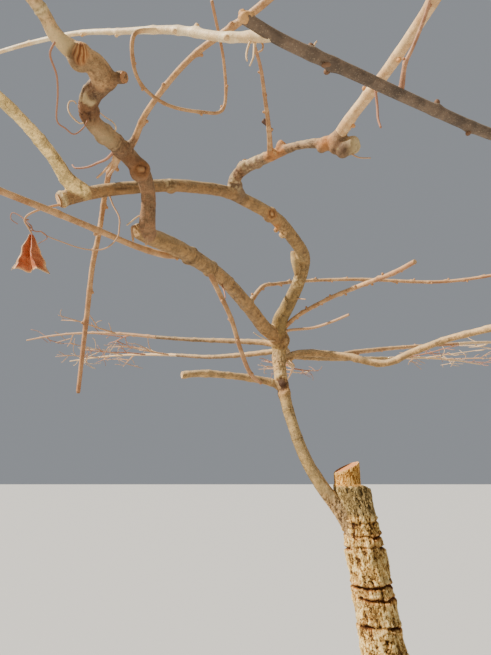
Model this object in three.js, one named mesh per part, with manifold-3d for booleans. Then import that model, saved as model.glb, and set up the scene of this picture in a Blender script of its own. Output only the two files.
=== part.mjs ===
// A bare winter vine trained overhead: an old ringed trunk sawn off at chest height, the young leader
// that took over from its shoulder, the arms that spread under the canopy, and their canes and twigs.
// Millimetres, +Z up. The origin is the middle of the flat cut at ground level.

import * as THREE from "three";
import { mergeVertices } from "three/addons/utils/BufferGeometryUtils.js";
import Module from "manifold-3d";

const wasm = await Module();
wasm.setup();

// Clearance where two pieces meet, and how far a twig keeps from a limb that it passes.
const GAP = 0.3;
const PASSING_ROOM = 6;

// The trunk: heights, diameters, its lean (sideways run per unit of height, growing with height).
// It narrows to a neck, whose left side swells towards the leader, and a ledge under the sawn stub.
const TRUNK_HEIGHT = 1462;
const TRUNK_DIAMETER = 152;
const NARROWING_FROM = 850;
const NECK_DIAMETER = 116;
const SHOULDER = 8;
const SHOULDER_HEIGHT = 1340;
const SHOULDER_REACH = 90;
const LEDGE_HEIGHT = 1402;
const LEDGE_RISE = 8;
const STUB_DIAMETER = 96;
const STUB_MIDDLE = -194.5;
const TRUNK_SIDES = 24;
const LEAN = 0.099;
const LEAN_GAIN = 0.000019;
const FLARE_DIAMETER = 236;
const FLARE_HEIGHT = 105;
const ROOT_LOBES = 5;
const ROOT_LOBE_DEPTH = 0.13;

// The sawn top slopes down to the left and a little to the front.
const CUT_SLOPE_X = 0.46;
const CUT_SLOPE_Y = 0.15;

// Rings cut round the bark to make the vine fruit, a little out of level: a groove between two healed
// lips. The profile holds heights from the ring's middle and how far the bark stands out there.
const RING_HEIGHTS = [730, 846, 952, 1043, 1078, 1198, 1241, 1285];
const RING_PROFILE = [[-10.5, 4], [-4, -2.5], [0, -8], [4, -2.5], [10.5, 4]];
const RING_SWAY = 4.5;
const RING_SWAY_TURN = 1.9;
const PLAIN_HEIGHTS = [0, 35, 85, 160, 280, 430, 590, 704, 756, 820, 872, 926, 978, 1017, 1104, 1140,
  1172, 1311, 1350, LEDGE_HEIGHT, LEDGE_HEIGHT + LEDGE_RISE];

// Limbs. Each is one tapering tube through the points of its way: the first lies inside the limb it
// grows from, or, where it follows another end to end, is that limb's last point. Girths are diameters
// at the points. A limb also gives way to every limb before it in the list.
const LIMBS = [
  { name: "leader", sides: 10, girths: [70, 58, 50, 43, 43, 50, 60], way: [[-158, -10, 1205],
    [-217, -16, 1307], [-303, -17, 1423], [-363, -24, 1537], [-412, -14, 1700], [-437, 4, 1850],
    [-440, 16, 1962]] },
  { name: "left_arm", follows: "leader", sides: 9, girths: [60, 54, 48, 44, 43, 40, 34], way: [
    [-499, -85, 1988], [-563, -262, 2018], [-642, -520, 2025], [-728, -753, 2006], [-789, -863, 1994],
    [-812, -896, 1992]] },
  { name: "left_rise", sides: 8, girths: [34, 34, 31, 35, 34, 31, 34, 36], way: [[-793, -872, 1994],
    [-786, -914, 1999], [-776, -968, 2042], [-782, -1022, 2063], [-812, -1090, 2075],
    [-841, -1163, 2074], [-826, -1210, 2083], [-788, -1243, 2091]] },
  { name: "left_outer", sides: 7, girths: [34, 31, 27, 21, 18, 16, 15], way: [[-796, -1238, 2088],
    [-805, -1272, 2091], [-825, -1288, 2094], [-850, -1310, 2105], [-865, -1355, 2119],
    [-925, -1465, 2135], [-1000, -1590, 2160]] },
  { name: "right_arm", sides: 9, girths: [56, 57, 53, 47, 44, 42, 39, 35], way: [[-441, -2, 1975],
    [-433, -48, 2030], [-411, -104, 2062], [-375, -208, 2127], [-369, -325, 2173],
    [-425, -459, 2189], [-488, -575, 2196], [-571, -686, 2187]] },
  { name: "right_outer", follows: "right_arm", sides: 8, girths: [35, 32, 30, 29, 30, 31], way: [
    [-629, -756, 2174], [-738, -848, 2134], [-848, -918, 2085], [-915, -963, 2044],
    [-957, -984, 2018]] },
  { name: "left_fork", sides: 6, girths: [32, 31, 25, 21, 19, 15], way: [[-912, -962, 2046],
    [-934, -1004, 2054], [-944, -1075, 2066], [-958, -1215, 2058], [-1020, -1390, 2056],
    [-1125, -1530, 2066]] },
  { name: "spur", sides: 8, girths: [34, 29, 31, 25, 19, 27, 31, 33], way: [[-589, -714, 2182],
    [-600, -750, 2204], [-570, -790, 2220], [-490, -869, 2211], [-438, -916, 2199],
    [-384, -953, 2176], [-362, -961, 2163], [-340, -969, 2162]] },
  { name: "spur_cane", sides: 6, girths: [28, 24, 21, 20, 18, 14], way: [[-374, -955, 2175],
    [-347, -1020, 2194], [-300, -1128, 2213], [-260, -1257, 2230], [-228, -1390, 2246],
    [-190, -1520, 2262]] },
  { name: "rising_cane", sides: 5, girths: [22, 15, 11, 10, 12, 12, 11], way: [[-804, -1075, 2074],
    [-783, -1089, 2083], [-741, -1161, 2097], [-654, -1275, 2098], [-545, -1368, 2099],
    [-470, -1450, 2110], [-400, -1590, 2132]] },
  { name: "cross_arm", sides: 7, girths: [34, 31, 29, 28, 26, 24, 24, 24, 25], way: [
    [-437, 6, 1880], [-398, 24, 1893], [-335, 39, 1913], [-180, 13, 1896], [-40, -32, 1857],
    [67, -90, 1893], [178, -151, 1927], [278, -257, 1938], [360, -385, 1950]] },
  { name: "cross_turn", follows: "cross_arm", sides: 6, girths: [25, 25, 24, 22, 20], way: [
    [405, -570, 1968], [370, -790, 1985], [245, -990, 1997], [95, -1125, 2003]] },
  { name: "near_cane", follows: "cross_turn", sides: 8, girths: [20, 19, 19, 18, 18, 17, 16], way: [
    [-60, -1187, 2001], [-176, -1222, 2000], [-309, -1289, 2000], [-425, -1359, 1992],
    [-520, -1412, 1989], [-572, -1438, 1999]] },
  { name: "side_cane", sides: 5, girths: [13, 12, 11, 8, 7, 6, 5], way: [[-536, -1421, 1990],
    [-598, -1396, 2014], [-665, -1366, 2056], [-747, -1333, 2088], [-840, -1287, 2130],
    [-979, -1227, 2156], [-1130, -1160, 2166]] },
  { name: "upright_shoot", sides: 4, girths: [9, 7, 6, 6, 5, 4], way: [[-350, -1314, 1999],
    [-350, -1337, 2025], [-343, -1353, 2040], [-334, -1375, 2062], [-322, -1430, 2100],
    [-290, -1550, 2125]] },
  { name: "curl", sides: 4, girths: [7, 7, 6, 6, 6, 6, 5, 5], way: [[-692, -1356, 2067],
    [-718, -1372, 2040], [-716, -1345, 1998], [-683, -1320, 1978], [-634, -1300, 1980],
    [-602, -1292, 1993], [-600, -1330, 2035], [-613, -1402, 2065]] },
  { name: "low_cane", sides: 5, girths: [18, 17, 15, 14, 14, 13, 11], way: [[-722, -738, 2008],
    [-767, -767, 1990], [-836, -808, 1996], [-890, -883, 1994], [-962, -996, 1986],
    [-1060, -1120, 1984], [-1185, -1245, 2004]] },
  { name: "tied_cane", sides: 5, girths: [16, 11, 8, 6, 5], way: [[-509, -850, 2214],
    [-519, -970, 2203], [-534, -1123, 2156], [-545, -1236, 2113], [-557, -1328, 2068]] },
  { name: "hanging_cane", sides: 5, girths: [18, 14, 13, 13, 13, 12], way: [[-678, -625, 2020],
    [-650, -590, 1965], [-612, -535, 1894], [-586, -464, 1821], [-556, -395, 1758],
    [-521, -348, 1734]] },
  { name: "back_cane", sides: 5, girths: [18, 15, 13, 13, 13, 13, 12], way: [[-558, -265, 2024],
    [-509, -219, 2102], [-458, -146, 2140], [-320, -17, 2201], [-100, -15, 2208],
    [200, -45, 2186], [420, -125, 2190]] },
  { name: "front_cane", sides: 5, girths: [20, 16, 15, 15, 15, 14], way: [[-440, 0, 1978],
    [-375, -75, 2031], [-272, -207, 2060], [-188, -352, 2059], [-123, -494, 2047],
    [-84, -585, 2048]] },
  { name: "pruned_arm", sides: 7, girths: [32, 28, 27, 26, 26, 25], way: [[-424, -8, 1764],
    [-464, -9, 1785], [-530, -33, 1796], [-591, -55, 1802], [-718, -118, 1803], [-797, -156, 1791]] },
  { name: "long_hanger", sides: 5, girths: [16, 14, 12, 12, 12, 12, 12, 12, 10], way: [
    [-812, -1092, 2073], [-826, -1048, 2068], [-849, -998, 2080], [-873, -935, 2107],
    [-903, -858, 2094], [-916, -834, 2020], [-935, -805, 1940], [-953, -760, 1845],
    [-978, -700, 1659]] },
  { name: "right_cane", sides: 5, girths: [22, 18, 17, 15], way: [[330, -337, 1946],
    [400, -330, 1962], [560, -380, 1984], [700, -450, 2000]] },
  { name: "right_front_cane", sides: 5, girths: [20, 18, 16, 14], way: [[397, -680, 1976],
    [450, -735, 1988], [570, -830, 2004], [690, -940, 2022]] },
  { name: "right_back_cane", sides: 5, girths: [22, 20, 17, 15, 14], way: [[-190, 14, 1897],
    [-120, 80, 1925], [60, 170, 1962], [230, 235, 1988], [400, 290, 2010]] },
  { name: "back_arm", sides: 6, girths: [38, 35, 32, 29, 27, 24], way: [[-438, 8, 1918],
    [-424, 70, 1942], [-400, 210, 1966], [-362, 430, 1984], [-340, 660, 2000], [-300, 900, 2024]] },
  { name: "back_left_arm", sides: 5, girths: [26, 25, 22, 19, 16], way: [[-400, 215, 1966],
    [-450, 300, 1975], [-600, 420, 1984], [-760, 540, 2000], [-930, 640, 2030]] },
  { name: "left_back_arm", sides: 5, girths: [26, 24, 20, 17, 15], way: [[-438, 14, 1940],
    [-500, 60, 1962], [-640, 130, 1985], [-800, 170, 2000], [-960, 190, 2016]] },
  { name: "back_right_arm", sides: 5, girths: [26, 25, 22, 19, 16], way: [[-362, 428, 1984],
    [-300, 510, 1992], [-130, 620, 2006], [60, 700, 2024], [230, 800, 2046]] },
];

// Masses of bare twigs at the tips of the boughs. Length is the stem's, turn is how far it swings to
// the side in degrees, lift how far it climbs, and spread and headroom are the half sizes of the
// space that its twigs keep to, across the stem and upwards.
const MASSES = [
  { name: "front_left_twigs", bough: "left_outer", seed: 3, length: 640, turn: -14, lift: 70, spread: 250 },
  { name: "left_twigs", bough: "left_fork", seed: 8, length: 620, turn: 22, lift: 90, spread: 230 },
  { name: "far_left_twigs", bough: "low_cane", seed: 21, length: 660, turn: 34, lift: 120, spread: 260 },
  { name: "front_twigs", bough: "rising_cane", seed: 5, length: 640, turn: 10, lift: 90, spread: 270 },
  { name: "front_right_twigs", bough: "spur_cane", seed: 14, length: 620, turn: -22, lift: 40, spread: 250 },
  { name: "right_front_twigs", bough: "right_front_cane", seed: 17, length: 620, turn: 18, lift: 90, spread: 230 },
  { name: "right_twigs", bough: "back_cane", seed: 9, length: 720, turn: -16, lift: 60, spread: 260 },
  { name: "far_right_twigs", bough: "right_cane", seed: 30, length: 640, turn: 14, lift: 110, spread: 250 },
  { name: "right_back_twigs", bough: "right_back_cane", seed: 33, length: 640, turn: 10, lift: 90, spread: 240 },
  { name: "left_back_twigs", bough: "left_back_arm", seed: 19, length: 640, turn: -8, lift: 100, spread: 230 },
  { name: "back_left_twigs", bough: "back_left_arm", seed: 12, length: 700, turn: 16, lift: 90, spread: 280 },
  { name: "back_twigs", bough: "back_arm", seed: 26, length: 640, turn: 12, lift: 90, spread: 260 },
  { name: "back_right_twigs", bough: "back_right_arm", seed: 6, length: 700, turn: -12, lift: 90, spread: 280 },
];
const STEM_STEPS = 5;
const STEM_TIP_GIRTH = 6;
const HEADROOM = 150;
const TWIGS_ON_STEM = 8;
const TWIGS_ON_TWIG = 2;
const TWIG_ANGLE = 52;
const TWIG_LENGTH = 0.52;
const TWIG_GIRTH = 0.62;
const TWIG_TIP_GIRTH = 3.4;
const TWIG_STEPS = 3;
const WANDER = 0.34;

const LIMB_SPACING = 75;

const woodBrown = new THREE.MeshStandardMaterial({ color: 0xa8875c, roughness: 0.9, metalness: 0 });
const limbTan = new THREE.MeshStandardMaterial({ color: 0xb2946a, roughness: 0.85, metalness: 0 });
const twigStraw = new THREE.MeshStandardMaterial({ color: 0xc4a57c, roughness: 0.8, metalness: 0 });

const vector = (point) => new THREE.Vector3(point[0], point[1], point[2]);

// Repeatable random numbers from 0 to 1.
function seeded(seed) {
  let state = seed * 7919;
  return () => {
    state = (state * 1664525 + 1013904223) % 4294967296;
    return state / 4294967296;
  };
}

// A closed solid from rings of points: quads between rings, and a fan over each end ring.
function loft(rings) {
  const sides = rings[0].length;
  const positions = rings.flat().flatMap((point) => [point.x, point.y, point.z]);
  const faces = [];
  for (let ring = 0; ring + 1 < rings.length; ring += 1) {
    for (let side = 0; side < sides; side += 1) {
      const next = (side + 1) % sides;
      const low = ring * sides;
      const high = low + sides;
      faces.push(low + side, low + next, high + next, low + side, high + next, high + side);
    }
  }
  const last = (rings.length - 1) * sides;
  for (let side = 1; side + 1 < sides; side += 1) {
    faces.push(0, side + 1, side, last, last + side, last + side + 1);
  }
  return new wasm.Manifold(new wasm.Mesh({
    numProp: 3,
    vertProperties: new Float32Array(positions),
    triVerts: new Uint32Array(faces),
  }));
}

// A smooth way through guide points, with the point before and the point after that steer its ends.
function centreline(guides, before, after, spacing) {
  const first = before ?? guides[0].clone().multiplyScalar(2).sub(guides[1]);
  const end = guides.at(-1);
  const last = after ?? end.clone().multiplyScalar(2).sub(guides.at(-2));
  const curve = new THREE.CatmullRomCurve3([first, ...guides, last], false, "catmullrom", 0.5);
  const spans = guides.length + 1;
  const stations = [];
  for (let index = 0; index + 1 < guides.length; index += 1) {
    const steps = Math.max(1, Math.round(guides[index].distanceTo(guides[index + 1]) / spacing));
    for (let step = 0; step < steps; step += 1) {
      stations.push(index + step / steps);
    }
  }
  stations.push(guides.length - 1);
  return stations.map((along) => ({
    along,
    point: curve.getPoint((along + 1) / spans),
    heading: curve.getTangent((along + 1) / spans),
  }));
}

// A tapering tube: a ring of corners round each station, carried along without twist.
function tube(stations, girths, sides, grown = 0) {
  let normal = new THREE.Vector3(0, 0, 1).cross(stations[0].heading);
  const rings = stations.map(({ along, point, heading }) => {
    normal = normal.clone().addScaledVector(heading, -normal.dot(heading)).normalize();
    const across = heading.clone().cross(normal);
    const radius = girthAt(girths, along) / 2 + grown;
    return Array.from({ length: sides }, (_, side) => {
      const angle = (2 * Math.PI * side) / sides;
      return point.clone()
        .addScaledVector(normal, radius * Math.cos(angle))
        .addScaledVector(across, radius * Math.sin(angle));
    });
  });
  return loft(rings);
}

function girthAt(girths, along) {
  const index = Math.min(Math.floor(along), girths.length - 2);
  const share = along - index;
  return girths[index] * (1 - share) + girths[index + 1] * share;
}

// The trunk's middle and radius at a height.
const trunkMiddle = (height) => (height > LEDGE_HEIGHT
  ? STUB_MIDDLE : -height * (LEAN + LEAN_GAIN * height));

function trunkRadius(height, angle) {
  if (height > LEDGE_HEIGHT) {
    return STUB_DIAMETER / 2;
  }
  const flare = Math.exp(-height / FLARE_HEIGHT);
  const lobes = 1 + ROOT_LOBE_DEPTH * flare * Math.cos(ROOT_LOBES * angle + 0.6);
  const narrowed = Math.max(0, (height - NARROWING_FROM) / (LEDGE_HEIGHT - NARROWING_FROM));
  const plain = TRUNK_DIAMETER + (NECK_DIAMETER - TRUNK_DIAMETER) * narrowed;
  const rise = (height - SHOULDER_HEIGHT) / SHOULDER_REACH;
  const shoulder = SHOULDER * Math.exp(-rise * rise) * Math.max(0, -Math.cos(angle));
  return (plain / 2 + ((FLARE_DIAMETER - TRUNK_DIAMETER) / 2) * flare) * lobes + shoulder;
}

function trunkSolid(grown = 0) {
  const levels = PLAIN_HEIGHTS.map((height) => ({ height, offset: 0, sway: 0, phase: 0 }));
  RING_HEIGHTS.forEach((middle, index) => {
    for (const [rise, offset] of RING_PROFILE) {
      levels.push({ height: middle + rise, offset, sway: RING_SWAY, phase: index * RING_SWAY_TURN });
    }
  });
  levels.push({ height: TRUNK_HEIGHT, offset: 0, sway: 0, phase: 0 });
  levels.sort((a, b) => a.height - b.height);
  const rings = levels.map(({ height, offset, sway, phase }) => (
    Array.from({ length: TRUNK_SIDES }, (_, side) => {
      const angle = (2 * Math.PI * side) / TRUNK_SIDES;
      const radius = trunkRadius(height, angle) + offset + grown;
      const x = radius * Math.cos(angle);
      const y = radius * Math.sin(angle);
      const slope = height === TRUNK_HEIGHT ? CUT_SLOPE_X * x + CUT_SLOPE_Y * y : 0;
      const tilt = sway * Math.sin(angle + phase);
      return new THREE.Vector3(trunkMiddle(height) + x, y, height + slope + tilt);
    })));
  return loft(rings);
}

// Limbs that are joined end to end share a face, each drawn back by half the gap.
function limbStations(limb, limbs) {
  const parent = limbs.get(limb.follows);
  const child = [...limbs.values()].find((other) => other.follows === limb.name) ?? limb.massStem;
  const before = parent ? parent.guides.at(-2) : null;
  const after = child ? child.guides[1] : null;
  const stations = centreline(limb.guides, before, after, limb.spacing);
  if (parent) {
    stations[0].point.addScaledVector(stations[0].heading, GAP / 2);
  }
  if (child) {
    stations.at(-1).point.addScaledVector(stations.at(-1).heading, -GAP / 2);
  }
  return stations;
}

// A mass's stem carries on from its bough's tip, swinging evenly to one side as it climbs.
function stemGuides(mass, bough) {
  const tip = bough.guides.at(-1);
  const heading = tip.clone().sub(bough.guides.at(-2)).setZ(0).normalize();
  const up = new THREE.Vector3(0, 0, 1);
  const guides = [tip.clone()];
  for (let step = 1; step <= STEM_STEPS; step += 1) {
    heading.applyAxisAngle(up, THREE.MathUtils.degToRad(mass.turn) / STEM_STEPS);
    const next = guides.at(-1).clone().addScaledVector(heading, mass.length / STEM_STEPS);
    next.z += (mass.lift / STEM_STEPS) * Math.cos((step * Math.PI) / (STEM_STEPS + 2));
    guides.push(next);
  }
  return guides;
}

// The space a mass keeps to: a flat oval round its stem, as canes lie along an overhead trellis.
function inSpace(point, mass) {
  const start = mass.guides[0];
  const end = mass.guides.at(-1);
  const middle = start.clone().add(end).multiplyScalar(0.5);
  const along = end.clone().sub(start).setZ(0).normalize();
  const offset = point.clone().sub(middle);
  const forward = offset.dot(along) / (mass.length * 0.68);
  const sideways = (along.x * offset.y - along.y * offset.x) / mass.spread;
  const upwards = offset.z / HEADROOM;
  return forward * forward + sideways * sideways + upwards * upwards < 1;
}

function clearOfLimbs(point, radius, obstacles) {
  return obstacles.every((limb) => point.distanceTo(limb.point) > limb.radius + radius + PASSING_ROOM);
}

// One twig: a few steps that each stray a little from the last, then shorter twigs along its sides.
function growTwig(mass, base, heading, length, girth, level, random, obstacles, grown) {
  const steps = TWIG_STEPS - level;
  const guides = [base.clone()];
  const direction = heading.clone();
  for (let step = 0; step < steps; step += 1) {
    direction.x += (random() - 0.5) * WANDER;
    direction.y += (random() - 0.5) * WANDER;
    direction.z = direction.z * 0.8 + (random() - 0.45) * WANDER * 0.5;
    direction.normalize();
    guides.push(guides.at(-1).clone().addScaledVector(direction, length / steps));
  }
  const free = guides.slice(1).every((point) => inSpace(point, mass)
    && clearOfLimbs(point, girth / 2, obstacles));
  if (!free) {
    return;
  }
  grown.push({ guides, girths: [girth, TWIG_TIP_GIRTH], level });
  if (level === 1) {
    return;
  }
  for (let count = 0; count < TWIGS_ON_TWIG; count += 1) {
    const index = 1 + count;
    const out = guides[index].clone().sub(guides[index - 1]).normalize();
    const side = count % 2 === 0 ? 1 : -1;
    const turned = sideShoot(out, side, random);
    const reach = length * (0.5 - 0.09 * count) * (0.8 + 0.4 * random());
    growTwig(mass, guides[index], turned, reach, girth * 0.68, level + 1, random, obstacles, grown);
  }
}

// The heading of a shoot that leaves its parent to one side, mostly within the canopy.
function sideShoot(parent, side, random) {
  const angle = THREE.MathUtils.degToRad(TWIG_ANGLE * (0.75 + 0.5 * random())) * side;
  const turned = parent.clone().applyAxisAngle(new THREE.Vector3(0, 0, 1), angle);
  turned.z += (random() - 0.4) * 0.5;
  return turned.normalize();
}

function massTwigs(mass, obstacles) {
  const random = seeded(mass.seed);
  const grown = [];
  for (let count = 0; count < TWIGS_ON_STEM; count += 1) {
    const along = 0.35 + ((STEM_STEPS - 0.6) * count) / TWIGS_ON_STEM;
    const index = Math.floor(along);
    const base = mass.guides[index].clone().lerp(mass.guides[index + 1], along - index);
    const out = mass.guides[index + 1].clone().sub(mass.guides[index]).normalize();
    const turned = sideShoot(out, count % 2 === 0 ? 1 : -1, random);
    const reach = mass.length * TWIG_LENGTH * (0.75 + 0.5 * random()) * (1 - 0.07 * count);
    const girth = girthAt(mass.girths, along) * TWIG_GIRTH;
    growTwig(mass, base, turned, reach, girth, 0, random, obstacles, grown);
  }
  return grown;
}

function massSolid(mass, obstacles) {
  const stations = centreline(mass.guides, mass.before, null, 110);
  stations[0].point.addScaledVector(stations[0].heading, GAP / 2);
  const parts = [tube(stations, mass.girths, 5)];
  for (const twig of massTwigs(mass, obstacles)) {
    const shape = centreline(twig.guides, null, null, 200);
    const end = twig.guides.length - 1;
    const girths = twig.guides.map((_, index) => {
      const share = index / end;
      return twig.girths[0] * (1 - share) + twig.girths[1] * share;
    });
    parts.push(tube(shape, girths, 3));
  }
  return largest(wasm.Manifold.union(parts));
}

function largest(solid) {
  return solid.decompose().reduce((best, piece) => (piece.volume() > best.volume() ? piece : best));
}

function toMesh(solid, name, material) {
  const { vertProperties, triVerts } = solid.getMesh();
  const geometry = new THREE.BufferGeometry();
  geometry.setAttribute("position", new THREE.BufferAttribute(vertProperties, 3));
  geometry.setIndex(new THREE.BufferAttribute(triVerts, 1));
  const mesh = new THREE.Mesh(mergeVertices(geometry), material);
  mesh.name = name;
  return mesh;
}

const vine = new THREE.Group();
vine.add(toMesh(trunkSolid(), "trunk", woodBrown));

const limbs = new Map();
for (const limb of LIMBS) {
  const start = limb.follows ? [limbs.get(limb.follows).guides.at(-1).clone()] : [];
  const guides = [...start, ...limb.way.map(vector)];
  limbs.set(limb.name, { ...limb, guides, spacing: LIMB_SPACING });
}

const masses = MASSES.map((mass) => {
  const bough = limbs.get(mass.bough);
  const guides = stemGuides(mass, bough);
  const thick = bough.girths.at(-1);
  const girths = guides.map((_, index) => thick + ((STEM_TIP_GIRTH - thick) * index) / STEM_STEPS);
  bough.massStem = { guides };
  return { ...mass, guides, girths, before: bough.guides.at(-2) };
});

const grownLimbs = [trunkSolid(GAP)];
const obstacles = [];
for (const limb of limbs.values()) {
  const stations = limbStations(limb, limbs);
  let solid = tube(stations, limb.girths, limb.sides);
  for (const earlier of grownLimbs) {
    solid = solid.subtract(earlier);
  }
  vine.add(toMesh(largest(solid), limb.name, limbTan));
  grownLimbs.push(tube(stations, limb.girths, limb.sides, GAP));
  for (const { along, point } of stations) {
    obstacles.push({ point, radius: girthAt(limb.girths, along) / 2 });
  }
}

for (const mass of masses) {
  vine.add(toMesh(massSolid(mass, obstacles), mass.name, twigStraw));
}

export default vine;
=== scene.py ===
# A bare winter vine trained overhead: an old ringed trunk, the young leader that took over from its
# shoulder, the arms that spread overhead, and their canes and twigs. Metres, +Z up.

import math
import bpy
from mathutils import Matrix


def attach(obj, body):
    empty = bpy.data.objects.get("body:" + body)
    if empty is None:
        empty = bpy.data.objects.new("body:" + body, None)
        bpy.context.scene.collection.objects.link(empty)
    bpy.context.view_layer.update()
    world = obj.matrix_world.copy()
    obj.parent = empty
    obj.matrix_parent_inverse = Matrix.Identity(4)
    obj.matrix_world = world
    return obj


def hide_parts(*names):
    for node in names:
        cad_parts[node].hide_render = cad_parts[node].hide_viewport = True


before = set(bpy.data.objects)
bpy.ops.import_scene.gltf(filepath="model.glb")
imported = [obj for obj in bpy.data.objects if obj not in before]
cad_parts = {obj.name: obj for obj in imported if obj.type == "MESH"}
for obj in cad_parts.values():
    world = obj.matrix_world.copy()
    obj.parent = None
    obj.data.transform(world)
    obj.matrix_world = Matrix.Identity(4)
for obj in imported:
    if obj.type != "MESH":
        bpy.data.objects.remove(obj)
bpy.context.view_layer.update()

from types import SimpleNamespace

import bpy
import numpy as np
from mathutils import Vector
from mathutils.kdtree import KDTree

# The trunk
# An old leaning stem of corky bark over pale wood, ringed with a knife year after year so that it
# fruits, and sawn off aslant at chest height. Its foot spreads into roots at ground level.
MM = 0.001
TRUNK_TOP = 1.472
TRUNK_RADIUS = 0.076
NARROWING_FROM = 0.850
NECK_RADIUS = 0.058
SHOULDER = 0.008
SHOULDER_HEIGHT = 1.340
SHOULDER_REACH = 0.090
LEDGE_HEIGHT = 1.402
LEDGE_RAGGED = 0.012
STUB_RADIUS = 0.048
STUB_MIDDLE = -0.1945
LEAN = 0.099
LEAN_GAIN = 0.019
FLARE = 0.042
FLARE_HEIGHT = 0.105
ROOT_LOBES = 5
ROOT_LOBE_DEPTH = 0.13
ROOT_LOBE_TURN = 0.6
CUT_SLOPE = (0.42, 0.10)
RINGS = [0.730, 0.846, 0.952, 1.043, 1.078, 1.198, 1.241, 1.285]
RING_DEPTHS = [0.7, 0.8, 1.0, 0.75, 1.0, 0.85, 1.15, 0.8]
RING_SWAY = 0.0045
RING_SWAY_TURN = 1.9
RINGED_FROM = 0.64
RINGED_TO = 1.300
TRUNK_AROUND = 216
COARSE_ROW = 0.007
FINE_ROW = 0.0025
FINE_FROM = 0.69
# How deep the bark's cracks go, and how far its plates and ring scars stand out.
FURROW = 0.0036
CREVICE = 0.0016
STEP = 0.0026
PLATE = 0.0022
FLAKE = 0.0012
RING_CUT = 0.0082
RING_LIP = 0.0058
# Below this height the bark lies flatter, towards the clean cut at ground level.
SMOOTH_FOOT = 0.05
# The sawn top, as shares of its radius: its rows of points, and where its pale rim and its wood meet.
CUT_SHARES = [0.985, 0.965, 0.945, 0.93, 0.915, 0.90] + list(np.linspace(0.87, 0.03, 24))
PALE_RIM_FROM = 0.93
WOOD_FROM = 0.92
# How far its wood has sunk and split, in how many splits, and how far its edge is worn back.
WOOD_SUNK = 0.0010
CHECK_DEPTH = 0.0016
CHECKS = 5
SAW_MARK = 0.00035
RIM_WORN = 0.0022
RIM_HEIGHT = 0.005
# Colours are written as a screen shows them, from 0 to 255, and this power turns them into light.
DAYLIGHT_GAMMA = 2.2


def scatter(a, b, c, seed):
    """A repeatable random number from 0 to 1 for each whole-number place."""
    n = (a * 73856093) ^ (b * 19349663) ^ (c * 83492791) ^ (seed * 2654435761)
    n = n & 0xFFFFFFFF
    n = ((n ^ (n >> 13)) * 1274126177) & 0xFFFFFFFF
    n = n ^ (n >> 16)
    return n / 0xFFFFFFFF


def noise(points, seed=0):
    """Smooth random lumps one unit wide, from -1 to 1."""
    base = np.floor(points).astype(np.int64)
    part = points - base
    part = part * part * part * (part * (part * 6 - 15) + 10)
    total = np.zeros(len(points))
    for corner in range(8):
        step = (corner & 1, corner >> 1 & 1, corner >> 2 & 1)
        weight = np.ones(len(points))
        for axis in range(3):
            weight *= part[:, axis] if step[axis] else 1 - part[:, axis]
        value = scatter(base[:, 0] + step[0], base[:, 1] + step[1], base[:, 2] + step[2], seed)
        total += weight * value
    return total * 2 - 1


def ramp(value, low, high):
    share = np.clip((value - low) / (high - low), 0, 1)
    return share * share * (3 - 2 * share)


def cracks(points, width, seed):
    """Winding cracks, 1 along their middle and 0 where the surface is whole."""
    return 1 - ramp(np.abs(noise(points, seed)), 0.0, width)


def ragged(points, size, seed):
    """A small random shift that frays the edges of whatever is worked out from the shifted points."""
    return size * np.stack([noise(points, seed + axis) for axis in range(3)], axis=1)


def grid_faces(rows, around):
    """Quads between rows of points that each go once round."""
    ring = np.arange(around)
    following = (ring + 1) % around
    low = np.arange(rows - 1)[:, None] * around
    quads = np.stack([low + ring, low + following, low + around + following, low + around + ring], axis=-1)
    return quads.reshape(-1, 4).tolist()


def make_piece(name, verts, faces, materials, masks=None, slots=None):
    """A smooth-shaded mesh object. Masks become point attributes, slots pick each face's material."""
    mesh = bpy.data.meshes.new(name)
    mesh.from_pydata(np.asarray(verts).tolist(), [], faces)
    mesh.polygons.foreach_set("use_smooth", [True] * len(mesh.polygons))
    for key, values in (masks or {}).items():
        values = np.asarray(values, dtype=np.float32)
        kind = "FLOAT" if values.ndim == 1 else "FLOAT_VECTOR"
        layer = mesh.attributes.new(key, kind, "POINT")
        layer.data.foreach_set("value" if values.ndim == 1 else "vector", values.ravel())
    if slots is not None:
        mesh.polygons.foreach_set("material_index", slots)
    mesh.update()
    piece = bpy.data.objects.new(name, mesh)
    bpy.context.scene.collection.objects.link(piece)
    for material in materials:
        piece.data.materials.append(material)
    return piece


def on_trunk(height, angle):
    """The trunk's points unrolled into lumps' own space, so that a pattern closes round it."""
    return np.stack([np.cos(angle) * TRUNK_RADIUS, np.sin(angle) * TRUNK_RADIUS, height], axis=1)


def above_ledge(height, angle):
    """1 on the bare stub above the ragged end of the bark, 0 below it."""
    place = on_trunk(height * 0, angle)
    edge = LEDGE_HEIGHT + LEDGE_RAGGED * noise(place * 32, 90) + 0.004 * noise(place * 110, 91)
    return ramp(height - edge, -0.002, 0.004)


def trunk_middle(height, bare):
    leaning = -height * (LEAN + LEAN_GAIN * height)
    return leaning * (1 - bare) + STUB_MIDDLE * bare


def trunk_plain_radius(height, angle, bare):
    """The trunk without its bark: root flare, a neck with a shoulder for the leader, the sawn stub."""
    flare = np.exp(-height / FLARE_HEIGHT)
    lobes = 1 + ROOT_LOBE_DEPTH * flare * np.cos(ROOT_LOBES * angle + ROOT_LOBE_TURN)
    narrowed = np.clip((height - NARROWING_FROM) / (LEDGE_HEIGHT - NARROWING_FROM), 0, 1)
    plain = TRUNK_RADIUS + (NECK_RADIUS - TRUNK_RADIUS) * narrowed
    rise = (height - SHOULDER_HEIGHT) / SHOULDER_REACH
    shoulder = SHOULDER * np.exp(-rise * rise) * np.maximum(0, -np.cos(angle))
    barked = (plain + FLARE * flare) * lobes + shoulder
    return barked * (1 - bare) + STUB_RADIUS * bare


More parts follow.
